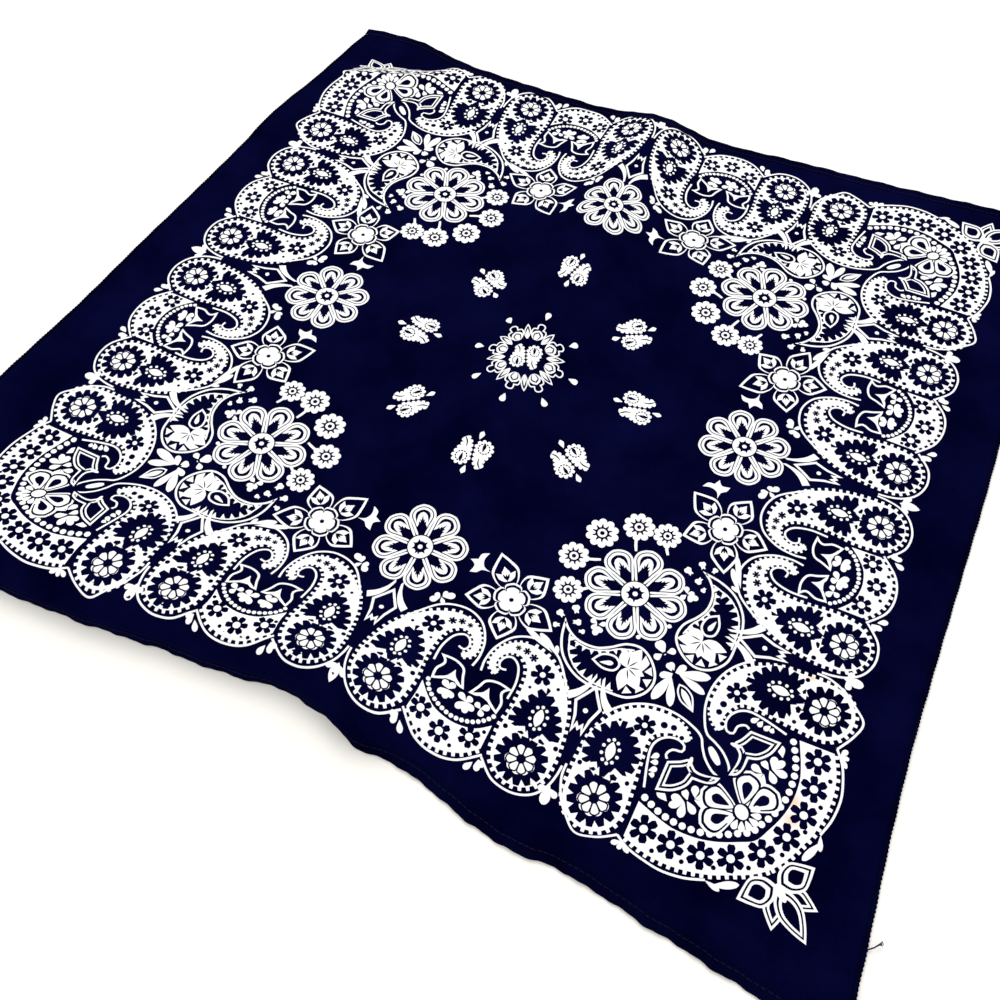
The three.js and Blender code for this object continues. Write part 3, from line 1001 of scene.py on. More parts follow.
def dark_flower(radius, eye_share=0.33):
    """A dark six-petalled flower with a white eye."""
    lobe = points(*scaled(radius, (0, -0.16), (0.78, -0.3), (1, -0.2), (1, 0.2), (0.78, 0.3), (0, 0.16)))
    shapes = around([(lobe, False)], 6, 30)
    return shapes + dot(0, radius * 0.52, False) + dot(0, radius * eye_share)


def dark_flowers(radius, eye_share, angle, *pairs):
    """One dark flower at several places."""
    return [shape for x, y in pairs for shape in placed(dark_flower(radius, eye_share), complex(x, y), angle)]


def dark_dots(*rows):
    """Dark dots, each given as (x, y, radius)."""
    return [shape for x, y, radius in rows for shape in dot(complex(x, y), radius, False)]


def head_flower(radius):
    """The eight-petalled flower of a paisley's head, with a second row of lobes round its outer half."""
    shapes = []
    for k in range(5):
        shapes += dot(cmath.rect(radius * 0.66, math.radians(200 + 35 * k)), radius * 0.28)
    petal_line = petal(radius * 0.84, radius * 0.42, radius * 0.2, 0.74)
    shapes += around([(inset(petal_line, -0.75), False)], 8, 22.5) + around([(petal_line, True)], 8, 22.5)
    return shapes + dot(0, radius * 0.28, False)


def star_flower():
    """A flower of five pointed petals, each with a three-lobed leaf, round a five-lobed heart."""
    tips = points((-17, 24.5), (13.8, 21), (28, -8.2), (3, -26.2), (-24.5, -8.2))
    shapes = []
    for shrink, inked in ((0, True), (LINE, False)):
        for tip in tips:
            blade = leaf(abs(tip) - shrink * 1.8, 15.6 - shrink * 2, 6, 0.5)
            shapes += placed([(blade, inked)], 0, math.degrees(cmath.phase(tip)))
    for tip in tips:
        way = tip / abs(tip)
        shapes += placed(three_lobes(9.5, 10), way * 11.5, math.degrees(cmath.phase(tip)))
    shapes += dot(0, 8, False)
    for radius, inked in ((10.6, True), (9.4, False), (7.8, True)):
        shapes += around([(petal(radius, radius * 0.92, 0, 0.7), inked)], 5, 105)
    return shapes + dot(0, 1.35, False)


def spine_sides(rows):
    """The middle line, both sides and the round head of a spine, and the way that its head points."""
    line = [complex(r[0], r[1]) for r in rows]
    way = headings(line)
    left = [p + 1j * d * r[2] for p, d, r in zip(line, way, rows)]
    right = [p - 1j * d * r[2] for p, d, r in zip(line, way, rows)]
    back = math.degrees(cmath.phase(way[0])) + 180
    return line, left, right, arc(line[0], rows[0][2], back - 90, back + 90), back


def lace_body(spine):
    """The toothed white body of a paisley along a spine of (x, y, half width), from its head to its tail."""
    rows = smooth_rows(spine)
    _, left, right, head, _ = spine_sides(rows)
    thin = next(k for k, r in enumerate(rows) if r[2] < 4.5)
    shapes = [(left[::-1] + head[1:-1] + right, True)]
    shapes += square_teeth(right[thin::-1] + head[-2:0:-1] + left[:thin])
    shapes += square_teeth(left[thin:], 3.0, 1.6, 1.2) + square_teeth(right[:thin:-1], 3.0, 1.6, 1.2)
    return shapes


def toothed_cell(loop, pitch=6.0, width=3.7, depth=3.3):
    """A dark cell with white points standing in from its rim."""
    rim = loop + loop[:1]
    if not is_left_turning(loop):
        rim = rim[::-1]
    return [(loop, False)] + pointed_teeth(rim, pitch, width, depth)


def head_fill(flower_at, seed_at, upper, flower_radius=8.9):
    """What a paisley's head holds: a flower in one dark cell, and a spotted seed in the cell above it."""
    shapes = toothed_cell(oval(flower_at, 13.8, 13.8)) + toothed_cell(upper)
    way = (seed_at - flower_at) / abs(seed_at - flower_at)
    for side in (-1, 1):
        bracket = points((14.6, 10), (14.6, 15), (9.4, 14.4), (4.8, 16.6), (2.6, 12.2), (5.2, 13.8),
                         (9.4, 11.4))
        shapes += [([flower_at + way * complex(p.imag, p.real * side) for p in bracket], True)]
    angle = math.degrees(cmath.phase(way)) - 90
    shapes += placed(head_flower(flower_radius), flower_at, angle)
    seed = joined(((0, -5.2), (1.7, -3), (2.5, 0), (1.7, 3), (0, 5.2)),
                  ((-1.7, 3), (-2.5, 0), (-1.7, -3), (0, -5.2)))[:-1]
    shapes += placed([(seed, True)], seed_at, angle)
    for k in range(10):
        place = cmath.rect(1, math.tau * (k + 0.5) / 10)
        shapes += placed(dot(complex(place.real * 4.3, place.imag * 6.4), 0.95), seed_at, angle)
    return shapes


BORDER_SPINE = (
    (-0.9, 0, 15.7), (-0.6, 9, 16.1), (-0.5, 20, 14.7), (1.2, 31, 13), (5.2, 41.5, 10.3), (11.3, 49.3, 7),
    (18.5, 53.4, 4.9), (25, 53.4, 3.6), (30.3, 50.2, 2.6), (33.6, 44, 1.9), (33.2, 37.5, 1.7),
    (29.2, 34.2, 1.2),
)


def border_paisley():
    """A paisley of the border, from the middle of its head."""
    shapes = lace_body(BORDER_SPINE)
    shapes += stroke(smooth((37, 31.5), (37.8, 39), (36, 49), (29.5, 58.8), (18, 62.8), (4, 58),
                            (-8.3, 41.5)))
    shapes += stroke(smooth((-21.2, 5), (-20.6, -1), (-18.6, -8), (-14.4, -14.2), (-8.4, -18), (-1, -19.5),
                            (8, -17.6), (17, -10)))
    shapes += stroke(smooth((18.3, 24), (18, 34), (20.5, 43), (25.2, 46.8), (29, 45.2), (30.5, 41),
                            (28.8, 38), (25.6, 38.6)))
    upper = smooth_loop((-1, 10.5), (11, 11), (14, 18), (12, 26), (8, 33), (2.2, 39.5), (-4, 35), (-10.4, 28),
                        (-14.4, 19.5), (-13, 11))
    shapes += head_fill(-1.2 - 1.4j, -0.4 + 22.2j, upper)
    shapes += placed(dark_flower(6.3, 0.26), 7.4 + 45j, 10)
    shapes += dark_dots((-3.2, 41, 1), (10.6, 35.6, 0.9), (-14.8, 11.2, 1.4), (13, 10.4, 1.4))
    for x, y, size in ((15.5, 51.8, 1.9), (20.3, 53.8, 1.7), (25.2, 53.6, 1.3)):
        shapes += placed(dark_flower(size * 1.25, 0), complex(x, y), 10)
    return shapes


def tulip():
    """A three-pointed bud with an outline and a pointed middle petal, the left one of a pair."""
    loop = joined(((42, -201.5), (50, -200.6), (56.3, -203), (58.6, -208.5), (61.2, -214.2)),
                  ((57, -213.8), (53.2, -211.8), (49, -214.8), (43.8, -217.6)),
                  ((43.2, -211), (45.4, -205.4), (42, -201.5)))[:-1]
    middle = joined(((46.4, -214.6), (50.4, -211.6), (52.8, -206.2)), ((54.6, -210), (58.4, -212.6)))
    return outlined(loop, 1.3) + [(middle + [53 - 213j], True)]


def scallop():
    """The band between two paisleys, from the middle of the pair's mirror line."""
    top = smooth((-20.5, -221), (-15, -226.5), (-8, -231), (2.5, -232.5), (13, -230), (20.5, -224))
    low = smooth((20.5, -237.5), (13, -244.3), (2, -248), (-10, -246.5), (-21, -238))
    shapes = [(top + low, True)] + square_teeth(low)
    shapes += dark_flowers(5.8, 0.36, 15, (-14.7, -234.5), (-1.5, -240), (13, -235))
    shapes += dark_dots((-10.5, -244.5, 1.1), (6.2, -243.8, 1.1), (-19, -230, 1.1), (18.5, -229, 1.1))
    shapes += stroke(smooth((-22.5, -239), (-12, -248), (0, -251), (12, -248.8), (22.5, -240)))
    row = smooth((-19, -217.5), (-15.5, -223.5), (-8.5, -227.8), (0.5, -230), (9.5, -228), (16, -223.5),
                 (20, -218))
    shapes += beads(row, 2.9, 1.25)
    shapes += fan(-7, -218.5, (-11.5, -222.5, 3.6), (-7, -224, 3.6), (-3.2, -221.5, 3.4))
    shapes += fan(-7, -218, (-11.5, -214.8, 3.8), (-5.6, -213.6, 3.6))
    shapes += fan(3.5, -219.5, (0, -225, 3.8), (5.5, -225.4, 3.8), (-1.5, -216.6, 3.6), (9, -222, 3.6),
                  (5.5, -215.8, 3.8))
    shapes += fan(11.5, -219, (15.5, -215.8, 3.6), (8, -217, 3.2), (13.6, -222.6, 3.4))
    return shapes


def diamond():
    """The pointed panel with a dot that stands between two paisleys, from its top."""
    loop = points((0, 0), (3.4, -5.6), (7.6, -12), (4.8, -20), (3, -29.5), (1.4, -25.4), (0, -27.4),
                  (-1.4, -25.4), (-3, -29.5), (-4.8, -20), (-7.6, -12), (-3.4, -5.6))
    shapes = outlined(loop, 1.5) + dot(-15.6j, 1.4)
    for side in (-1, 1):
        wedge = smooth((2.4, 6), (4.4, 0), (8, -5.4), (12.6, -9.2))
        wedge += smooth((10.6, -13.2), (6.6, -9.4), (3.4, -3.6), (1.6, 4))
        shapes += placed([(wedge, True)], 0, 0, 1, side < 0)
    return shapes


def teardrop():
    """The inner paisley with a star leaf, an outlined drop and zigzag teeth, in the octant's own place."""
    shell = smooth((91, -149.5), (96, -155), (103, -158.7), (112, -158.8), (119, -155.5), (127, -149.8),
                   (136, -149), (144, -155), (148.3, -164), (146, -173), (138, -179.5), (127, -180.8),
                   (117, -181.2), (107, -178.3), (98, -171), (93, -161), (91, -149.5))[:-1]
    shapes = outlined(shell, 1.3)
    low = smooth((97, -157.5), (98.8, -163), (101.5, -169), (108, -175.2), (117, -178.5), (130, -178.6))
    shapes += stroke(low, 0.8) + pointed_teeth(low, 5.2, 3.6, 4.2)
    high = smooth((132, -152.2), (124.5, -154.8), (119.2, -158.2), (110, -161.5), (101, -160.5))
    shapes += stroke(high, 0.8) + pointed_teeth(high, 4.4, 3.0, 3.0)
    drop = smooth((113, -166.5), (117, -160.8), (124, -159.3), (128.3, -163), (126.5, -168), (120, -169.2),
                  (113, -166.5))[:-1]
    shapes += outlined(drop, 1.2)
    shapes += placed([(petal(7.5, 2.8, 0, 0.7), True)], 117.5 - 166.2j, 18)
    for angle, length, width in ((75, 13.5, 8), (33, 12, 7.5), (-5, 10, 6), (-45, 14, 8.5), (-88, 14, 7),
                                 (118, 11, 7.5)):
        shapes += placed([(leaf(length, width, 0, 0.48), True)], 132 - 163j, angle)
    for angle in (54, 14, -25, -66, 98):
        shapes += placed([(leaf(7, 0.7, 1, 0.5), False)], 132 - 163j, angle)
    rim = smooth((138, -151.8), (144.3, -159), (145.8, -166), (142.6, -173), (134, -178.2))
    for p, d in marks(rim, 6.6):
        shapes += [([p - d * 2.6, p + d * 2.6, p - 1j * d * 4.0], True)]
    return shapes


CORNER_SPINE = (
    (143, -233, 15.8), (142.5, -221, 15.3), (142.5, -208, 14.2), (145, -197, 12.0), (150, -189, 9.0),
    (157, -184.8, 6.2), (165, -183.2, 4.4), (170.8, -184.6, 2.8), (175, -188, 1.4),
)


def corner_paisley():
    """The paisley at the near end of a corner, whose tail runs out into a leaf."""
    shapes = lace_body(CORNER_SPINE)
    shapes += stroke(smooth((130, -192), (138, -183.7), (146, -178.8), (155, -176.3), (165, -176.4),
                            (174, -179), (180, -182.5), (182.8, -188), (186, -193), (191, -197.5),
                            (195.5, -199.3)))
    shapes += stroke(smooth((123.8, -224), (124.2, -231), (128, -240), (134, -247), (141, -253),
                            (150, -250.5), (160, -244.5)))
    shapes += stroke(smooth((163.3, -219), (160.5, -208), (159.2, -199), (161, -193.5), (165, -190),
                            (170, -189), (174.2, -191), (174, -194.3), (169.5, -195.2), (167.3, -199),
                            (170, -202.5)))
    tail = joined(((169, -202), (168.8, -210), (168.6, -218)),
                  ((176.5, -215.4), (182, -210.5), (183.8, -205.6)),
                  ((190, -205), (194.3, -203), (196, -199.2)),
                  ((189, -200.8), (183.5, -200.5), (179, -196.5), (175, -199), (169, -202)))[:-1]
    shapes += [(inset(tail, -1.2), False)] + outlined(tail, 1.2, 2.3, 3.3)
    shapes += placed([(oval(0, 1.1, 2.8), True)], 179.7 - 197.5j)
    upper = smooth_loop((142, -222), (153, -220), (156.6, -209), (153.6, -200), (143.8, -191), (132.5, -197),
                        (127.8, -207), (130, -219))
    shapes += head_fill(143 - 233j, 141.3 - 209.2j, upper, 9.2)
    shapes += placed(dark_flower(5.8, 0.26), 152 - 189j, 10)
    return shapes + dark_dots((129.5, -220.5, 1.3), (155, -220.5, 1.2), (150.5, -198, 0.9),
                              (139.5, -191.5, 0.9), (161, -184.7, 1.9), (166, -184, 1.7),
                              (171.5, -187.5, 1.3))


def corner_band():
    """The near half of the corner's white band, its dark flowers and its bead row."""
    top = smooth((163.5, -226), (169, -228), (176, -230.4), (184, -232.2), (195, -232), (205, -229.6),
                 (214, -225.6), (221.4, -221.4), (225.6, -214))
    low = smooth((238, -226), (232, -232), (225, -237.4), (215, -242.4), (205, -246.5), (190, -249.3),
                 (176, -248.5), (163, -244))
    shapes = [(top + low, True)] + square_teeth(low)
    shapes += dark_flowers(6.9, 0.3, 15, (170.6, -237.6), (185, -239.8), (199.7, -239), (213.4, -234.6),
                           (226, -226))
    shapes += dark_dots((177.8, -246, 1.25), (192.5, -245.4, 1.25), (207.3, -242, 1.25),
                        (222.5, -235.2, 1.25))
    shapes += stroke(smooth((160, -244.5), (167, -249), (176, -251.9), (185, -253.3), (196, -252.2),
                            (205.5, -249)))
    row = smooth((163.5, -222.4), (169, -225), (175, -227.5), (182, -229), (190, -229.2), (197, -228.4),
                 (205, -225.8), (212.5, -221.8), (218.6, -218.6))
    shapes += beads(row, 4.6, 1.8)
    return shapes


def corner_flower():
    """The half flower that opens towards the middle of the cloth, on the diagonal."""
    shapes = []
    heart = 211 - 211j
    for size, width, root, inked in ((22, 15.4, 2, True), (20.7, 12.8, 3, False), (19.3, 10.6, 4, True),
                                     (16, 5.2, 6.5, False)):
        for turn in (219, 174, 96, 51):
            shapes += placed([(petal(size, width, root, 0.68), inked)], heart, turn)
    for k in range(7):
        shapes += placed([(petal(9.8, 3.4, 4.2, 0.65), True)], heart, 315 + (k - 3) * 27)
    return shapes + placed(dot(0, 4.6, False) + [(oval(0, 3.9, 3.2), True)], heart, 135)


def corner_leaves():
    """The leafy half flower at the corner's tip and the small leaves by it."""
    shapes = []
    heart = 237.5 - 237.5j
    for side in (-1, 1):
        shapes += placed(nested_leaf(21, 11, 0.5, 1.2, 2.1, 3.2), heart, -45 + 36 * side)
    shapes += placed(nested_leaf(28, 13, 0.45, 1.2, 2.1, 3.3), heart, -45)
    for side in (-1, 1):
        shapes += placed(nested_leaf(21, 14.6, 0.5, 1.2, 2.1, 3.5), heart, -45 + 94 * side)
    shapes += placed([(oval(3.4, 4.6, 1.9), True)], heart, -45)
    shapes += fan(205.5, -249.2, (213.4, -251.2, 2.6))
    shapes += fan(208, -251, (221, -244.6, 3.8))
    return shapes


def leaf_cluster():
    """The leaves on the diagonal between the rosette's two teardrops."""
    shapes = fan(146, -147, (141, -142, 4.5), (146, -137.5, 4.5))
    shapes += fan(147, -148, (153.5, -143, 4))
    shapes += fan(146, -148, (143, -152, 4))
    shapes += fan(155, -156, (150, -174, 5.5))
    shapes += fan(155, -158, (160, -174, 4.5))
    shapes += fan(155, -156, (149, -160, 4))
    shapes += placed(outlined(leaf(17, 7.5, 0, 0.5), 0.9), 160 - 160j, -45)
    shapes += placed([(leaf(13, 3.4, 0, 0.4), True)], 162 - 162j, -45)
    shapes += fan(154, -155, (150.5, -151.5, 3.5))
    return shapes


def fillers():
    """Small leaves, buds and sprigs that fill the ground of one octant."""
    shapes = fan(24.5, -168.5, (20, -172.5, 4), (21, -167, 3.4))
    shapes += fan(25, -168, (28, -171.5, 2.6))
    shapes += fan(25.5, -167.5, (31.5, -163.5, 4.2), (26.5, -163.2, 2.8))
    bud = joined(((42.5, -141.8), (38, -140.3), (36.2, -136), (37.3, -131.3)), ((33.5, -133.5), (33, -137.2)),
                 ((29, -139.2),), ((32.5, -141.5), (31.8, -146.5)),
                 ((35.5, -145.2), (37.5, -142.6), (42.5, -141.8)))[:-1]
    shapes += [(bud, True)]
    for x, y, angle, size in ((94.5, -142.8, 120, 5.2), (88, -148.5, 150, 4.8), (97.5, -149.7, 20, 4.6),
                              (88.5, -155.5, 200, 3.8), (102, -153.8, 15, 3.4)):
        bud_petal = [(petal(size * 0.6, size * 0.62, -size * 0.5, 0.7), True)]
        for turn in (25, -25):
            shapes += placed(bud_petal, complex(x, y), angle + turn)
    shapes += fan(93, -172, (74, -164, 3.2))
    shapes += fan(95, -171, (82.5, -164, 3.6))
    shapes += fan(96, -172.5, (93.5, -167, 2.4))
    shapes += fan(108, -146, (104, -144.5, 3.2), (106.5, -150, 3))
    shapes += fan(109, -146, (112.5, -144, 3))
    shapes += fan(109, -147, (109, -153, 3.6), (112, -150, 3))
    shapes += dot(145.8 - 127.6j, 1.4) + dot(131 - 144j, 1.3)
    shapes += fan(120.9, -237.5, (120.9, -248, 5.4))
    shapes += fan(120, -239, (115.8, -241.8, 3.6))
    shapes += fan(121.8, -239, (126, -241.8, 3.6))
    for side in (-1, 1):
        middle = 61 + 22.5 * side
        shapes += fan(middle, -243, (middle + 3.6 * side, -245.6, 3.4), (middle + 1.4 * side, -249, 3.4))
        shapes += fan(middle - 2 * side, -245.5, (middle - 4.6 * side, -251, 3.4))
    shapes += [(smooth((-0.6, -238), (1.8, -241.4), (2.7, -245), (1.7, -248.4), (-0.6, -251.2)), True)]
    shapes += fan(1.2, -240, (6, -244.4, 3.6))
    shapes += fan(163, -247, (158.5, -249.5, 3), (163, -251.5, 2.6), (168, -251.5, 2.6))
    shapes += fan(184, -218, (177, -217.5, 4.2), (177.5, -222.6, 4), (184.4, -226, 4.2))
    shapes += fan(185, -217, (190.5, -221.5, 4))
    shapes += fan(185, -216.5, (181.5, -212, 3.6))
    shapes += fan(188, -214, (186, -208, 4))
    shapes += fan(188, -214.5, (194, -210, 4))
    shapes += fan(188, -215, (195.5, -216, 3.6))
    shapes += fan(176, -221, (170, -217.8, 4))
    shapes += fan(160.8, -204, (164.2, -200.4, 3))
    shapes += fan(161.4, -206, (165.2, -204.6, 3))
    shapes += fan(162.2, -210.5, (165.8, -207.8, 3))
    shapes += fan(162.8, -212, (165.8, -211.6, 2.8))
    shapes += placed([(oval(0, 1.5, 5.2), True)], 189.2 - 189.8j, 45)
    return shapes


PAIR_SPINE = (
    (-4.8, 5.4, 5.0), (-1.5, 5.6, 4.3), (2.2, 5.4, 3.2), (5.6, 6.2, 2.3), (8.4, 8.6, 1.4),
)


def small_pair():
    """Two tiny lumpy paisleys laid head to tail, each built on a spine of (x, y, half width)."""
    line, left, right, head, back = spine_sides(smooth_rows(PAIR_SPINE))
    outline = left[::-1] + head[1:-1] + right
    half = [(outline, True)] + beads(outline, 3.1, 1.3)
    lines = placed([(petal(6.0, 2.2), False)], line[0] + 2.6, back)
    for place, heading in marks(arc(line[0], 3.5, 0, 360), 1.9):
        lines += [(oval(place, 0.75, 0.46, math.degrees(cmath.phase(heading))), False)]
    lines += covered(stroke(line[len(line) // 2:], 0.9, (0.4, 0.4)))
    return placed(half, 0) + placed(half, 0, 180) + placed(lines, 0) + placed(lines, 0, 180)


def small_motif():
    """A small pair with a drop at each end."""
    shapes = small_pair()
    for turn in (0, 180):
        shapes += placed([(mirrored((9.6, 0), (11.6, 1.0), (14, 1.7), (15.8, 0)), True)], 0, turn)
    return shapes


def medallion():
    """The middle of the print: a lumpy pair in a ring of sixteen petals and eight drops."""
    tip = closed(joined(((13, 0), (14.6, 2.6), (17.4, 4.7), (20, 5.4), (22, 4.6), (22.6, 2.6)),
                        ((24.6, 2.9), (26.2, 2), (26.8, 0))))
    slim = mirrored((13, 0), (16, 1.7), (19.5, 2.3), (23, 1.5), (25.8, 0))
    shapes = around([(tip, True)], 8) + around([(slim, True)], 8, 22.5)
    shapes += around([(inset(tip, 0.9), False)], 8) + around([(inset(slim, 0.8), False)], 8, 22.5)
    for far, across, inked in ((21.3, 3.8, True), (20.1, 2.6, False), (19.2, 1.8, True)):
        core = mirrored((13, 0), (15, across * 0.75), (17.6, across), (far - 1.3, across * 0.7), (far, 0))
        shapes += around([(core, inked)], 8)
    shapes += around([(mirrored((14, 0), (17.6, 1.0), (22, 0)), True)], 8, 22.5)
    shapes += dot(0, 13.6, False)
    shapes += around([(mirrored((30.4, 0), (32.2, 1.1), (34.6, 2.1), (36.2, 1.5), (36.7, 0)), True)], 8)
    return shapes + placed(small_pair(), 0, 100, 0.88)


DAISIES = (
    # middle x, middle y, radius, stem's length, way of the stem
    (89.6, -91.6, 9.4, 0, 0), (107.3, -79.0, 9.0, 7, -82), (124.1, -77.8, 8.0, 4.5, -76),
    (80.5, -112.1, 8.7, 6.5, 10), (85.6, -133.1, 8.3, 4, 25),
)


def quarter_shapes():
    """The daisies round the big flower, which aren't the same on both sides of the diagonal."""
    shapes = []
    for x, y, radius, stem, way in DAISIES:
        if stem:
            line = [cmath.rect(radius * 0.8 + k / 3 * (stem + radius * 0.2),
                               math.radians(way + 2 * k)) for k in range(4)]
            shapes += placed(stroke(line, 1.7, (1.0, 0.8)), complex(x, y))
        shapes += placed(small_daisy(radius), complex(x, y), way)
    return shapes


def octant_shapes():
    """The near right eighth of the print, from its middle line to its diagonal."""
    shapes = fillers()
    shapes += placed(round_flower(27.6, 7.2, 22.5), -145j)
    shapes += placed(round_flower(29.6, 7.6, 0), 120.2 - 120.2j)
    shapes += placed(star_flower(), 60 - 152.4j)
    shapes += leaf_cluster() + teardrop()
    shapes += corner_band() + corner_flower() + corner_leaves() + corner_paisley()
    shapes += placed(scallop(), 61.5)
    shapes += placed(border_paisley(), 22 - 231j) + placed(border_paisley(), 101 - 231j, 0, 1, True)
    shapes += tulip() + placed(tulip(), 125, 0, 1, True)
    shapes += placed(diamond(), -175j) + placed(diamond(), 121.5 - 179j)
    return shapes


# The net of extra corners that lets the film follow the cloth, and the parts that are cut on their own
NET = 4.0
MOTIF_RING = 76.5
FLOWER_REACH = 166
CORNER_START = 125
MIDDLE = [cmath.rect(100, math.tau * k / 64) for k in range(64)]
OCTANT = points((0, -72), (0, -262), (262, -262), (72, -72))
QUARTER = points((60, -60), (60, -150), (150, -150), (150, -60))


def winding(outline, x, y):
    """How many times an outline goes round each place."""
    line = np.array(outline)
    a = line[:, None]
    b = np.roll(line, -1)[:, None]
    side = (b.real - a.real) * (y - a.imag) - (x - a.real) * (b.imag - a.imag)
    up = (a.imag <= y) & (b.imag > y) & (side > 0)
    down = (a.imag > y) & (b.imag <= y) & (side < 0)
    return up.sum(0) - down.sum(0)


def ink_mesh(shapes, region):
    """Corners and triangles of what stays inked inside a region, cut along every outline."""
    corners = []
    edges = []
    for outline, _ in [*shapes, (region, True)]:
        first = len(corners)
        corners += outline
        edges += [(first + k, first + (k + 1) % len(outline)) for k in range(len(outline))]
    net = np.arange(-HALF_SPAN, HALF_SPAN, NET)
    gx, gy = [axis.ravel() for axis in np.meshgrid(net, net)]
    inside = winding(region, gx, gy) != 0
    corners += list(gx[inside] + 1j * gy[inside])
    made = geometry.delaunay_2d_cdt([Vector((p.real, p.imag)) for p in corners], edges, [], 0, 0.004, False)
    places = np.array([tuple(p) for p in made[0]])
    triangles = np.array([face for face in made[2] if len(face) == 3])
    x, y = places[triangles].mean(1).T
    inked = np.zeros(len(triangles), bool)
    for outline, white in shapes:
        line = np.array(outline)
        near = np.flatnonzero((x > line.real.min()) & (x < line.real.max())
                              & (y > line.imag.min()) & (y < line.imag.max()))
        hit = winding(outline, x[near], y[near]) != 0
        inked[near[hit]] = white
    keep = inked & (winding(region, x, y) != 0)
    used, triangles = np.unique(triangles[keep], return_inverse=True)
    return places[used], triangles.reshape(-1, 3)


def turned_copies(places, triangles, quarters, mirrors):
    """Copies of a part of the print: turned by quarters, and each with its mirror image."""
    all_places = []
    all_triangles = []
    for quarter in quarters:
        for is_mirror in mirrors:
            x, y = places.T
            if is_mirror:
                x = -x
            for _ in range(quarter):
                x, y = -y, x
            turned = triangles[:, ::-1] if is_mirror else triangles
            all_triangles.append(turned + len(places) * len(all_places))
            all_places.append(np.stack([x, y], -1))
    return np.concatenate(all_places), np.concatenate(all_triangles)


def print_piece(name, places, triangles, height, material):
    """A film of print that follows the cloth."""
    used, triangles = np.unique(triangles, return_inverse=True)
    u, v = places[used].T
    piece = mesh_piece(name, on_cloth(*draw_back(u, v), height), triangles.reshape(-1, 3).tolist())
    write_uv(piece, u, v)
    finish_piece(piece, material, "printed_cotton")


class BANDANA_OT_print(bpy.types.Operator):
    """Print the borders, corners, flowers and small motifs"""
    bl_idname = "bandana.print"
    bl_label = "Print"

    def execute(self, context):
        sizes = context.scene.bandana_cloth
        ink = context.scene.bandana_print
        material = white_print(ink.white, ink.stain, sizes.thread_pitch / MM)
        height = (sizes.thickness + ink.film) / MM
        both = (False, True)
        places, triangles = turned_copies(*ink_mesh(octant_shapes(), OCTANT), range(4), both)
        daisy_places, daisy_triangles = turned_copies(*ink_mesh(quarter_shapes(), QUARTER), (0, 2), both)
        triangles = np.concatenate([triangles, daisy_triangles + len(places)])
        places = np.concatenate([places, daisy_places])
        middle = np.abs(places[triangles].mean(1))
        reach = middle.max(1)
        outer = reach > FLOWER_REACH
        corner = middle.min(1) > CORNER_START
        for name, part in (("border_print", outer & ~corner), ("corner_print", outer & corner),
                           ("flower_print", ~outer)):
            print_piece(name, places, triangles[part], height, material)
        middle_shapes = medallion()
        for k in range(8):
            motif = placed(small_motif(), 0, 0, 1, k in (1, 2, 4, 5))
            middle_shapes += placed(motif, cmath.rect(MOTIF_RING, math.pi / 4 * k), 45 * k)
        print_piece("middle_print", *ink_mesh(middle_shapes, MIDDLE), height, material)
        return {"FINISHED"}


# The camera found from the print's own symmetry: place in metres, and its axes
CAMERA_PLACE = (0.1842, -0.4041, 0.5410)
CAMERA_RIGHT = (0.9057, 0.4240, 0.0004)
CAMERA_UP = (-0.3555, 0.7590, 0.5454)
CAMERA_LENS = 40.147
WINDOW_PLACE = (-0.9, 1.5, 1.9)
WINDOW_SIZE = 1.6
TABLE_SIZE = 12
TABLE_DROP = 0.0002
EXPOSURE = 0.6


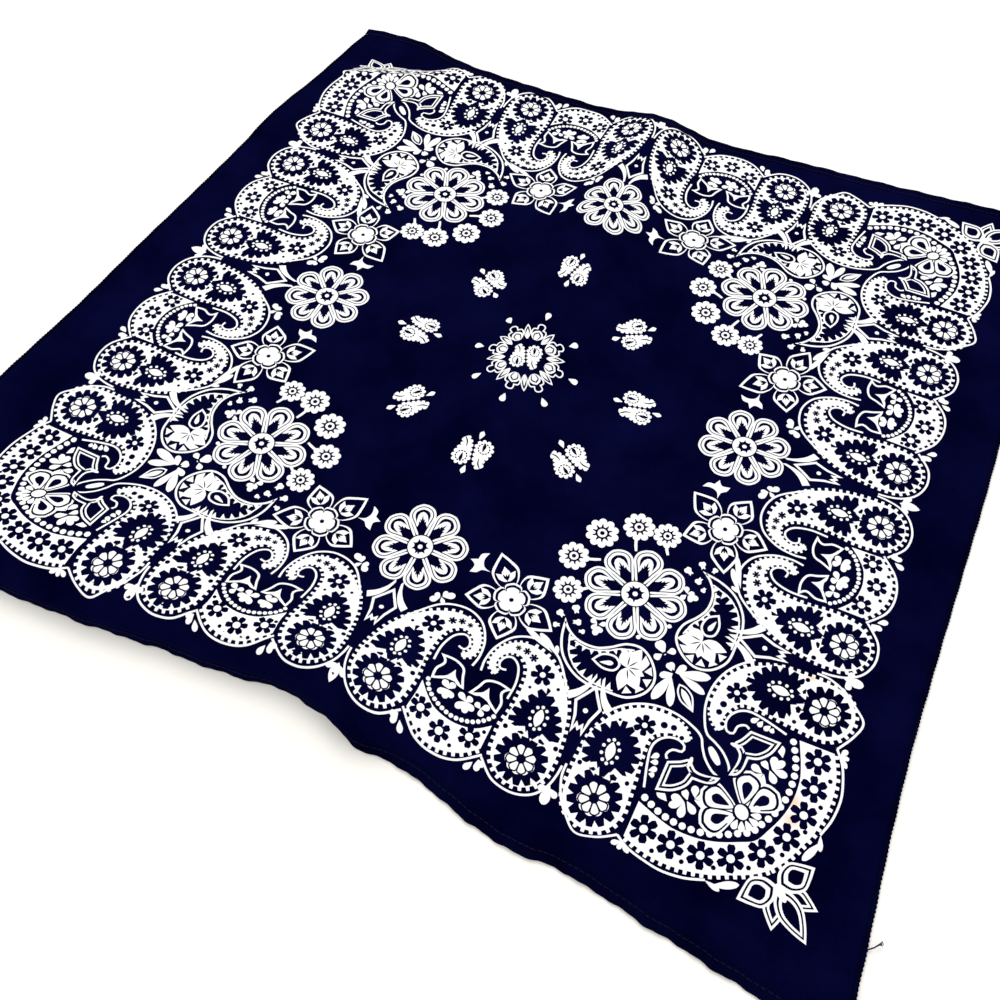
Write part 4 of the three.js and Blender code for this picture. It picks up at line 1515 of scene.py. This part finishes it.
class BANDANA_OT_stage(bpy.types.Operator):
    """Set the camera, the lights and the table top"""
    bl_idname = "bandana.stage"
    bl_label = "Stage"

    def execute(self, context):
        look = context.scene.bandana_stage
        add_camera(context.scene)
        deselect_all()
        bpy.ops.mesh.primitive_plane_add(size=TABLE_SIZE, location=(0, 0, -TABLE_DROP))
        floor = bpy.context.object
        floor.name = "table_top"
        floor.data.materials.append(table_top(look.floor))
        bpy.ops.object.light_add(type="AREA", location=WINDOW_PLACE)
        window = bpy.context.object
        window.name = "window_light"
        window.data.energy = look.key_power
        window.data.size = WINDOW_SIZE
        window.data.color = srgb("#FFFDF8")[:3]
        window.rotation_euler = (-window.location).to_track_quat("-Z", "Y").to_euler()
        world = bpy.data.worlds.new("pale_room")
        world.use_nodes = True
        world.node_tree.nodes["Background"].inputs["Color"].default_value = srgb("#FBFAF8")
        world.node_tree.nodes["Background"].inputs["Strength"].default_value = look.sky
        context.scene.world = world
        context.scene.view_settings.view_transform = "Standard"
        context.scene.view_settings.exposure = EXPOSURE
        return {"FINISHED"}


def add_camera(scene):
    lens = bpy.data.cameras.new("photo_camera")
    lens.sensor_width = 36
    lens.lens = CAMERA_LENS
    lens.clip_start = 0.01
    camera = bpy.data.objects.new("photo_camera", lens)
    scene.collection.objects.link(camera)
    right = Vector(CAMERA_RIGHT).normalized()
    back = right.cross(Vector(CAMERA_UP)).normalized()
    up = back.cross(right)
    turn = Matrix((right, up, back)).transposed()
    camera.matrix_world = Matrix.Translation(CAMERA_PLACE) @ turn.to_4x4()
    scene.camera = camera


class BANDANA_PT_panel(bpy.types.Panel):
    """The steps that make the bandana"""
    bl_idname = "BANDANA_PT_panel"
    bl_label = "Bandana"
    bl_space_type = "VIEW_3D"
    bl_region_type = "UI"
    bl_category = "Bandana"

    def draw(self, context):
        for operator in OPERATORS:
            self.layout.operator(operator.bl_idname)


GROUPS = {
    "bandana_cloth": BANDANA_PG_cloth,
    "bandana_print": BANDANA_PG_print,
    "bandana_sewing": BANDANA_PG_sewing,
    "bandana_stage": BANDANA_PG_stage,
}
OPERATORS = (
    BANDANA_OT_stage, BANDANA_OT_cloth, BANDANA_OT_hems, BANDANA_OT_selvedges, BANDANA_OT_sewing,
    BANDANA_OT_print,
)


def register():
    for group in GROUPS.values():
        bpy.utils.register_class(group)
    for operator in OPERATORS:
        bpy.utils.register_class(operator)
    bpy.utils.register_class(BANDANA_PT_panel)
    for name, group in GROUPS.items():
        setattr(bpy.types.Scene, name, bpy.props.PointerProperty(type=group))


def unregister():
    for name in GROUPS:
        delattr(bpy.types.Scene, name)
    bpy.utils.unregister_class(BANDANA_PT_panel)
    for group in (*OPERATORS[::-1], *GROUPS.values()):
        bpy.utils.unregister_class(group)


def main():
    register()
    bpy.ops.bandana.stage()
    bpy.ops.bandana.cloth()
    bpy.ops.bandana.hems()
    bpy.ops.bandana.selvedges()
    bpy.ops.bandana.sewing()
    bpy.ops.bandana.print()


if __name__ == "__main__":
    main()
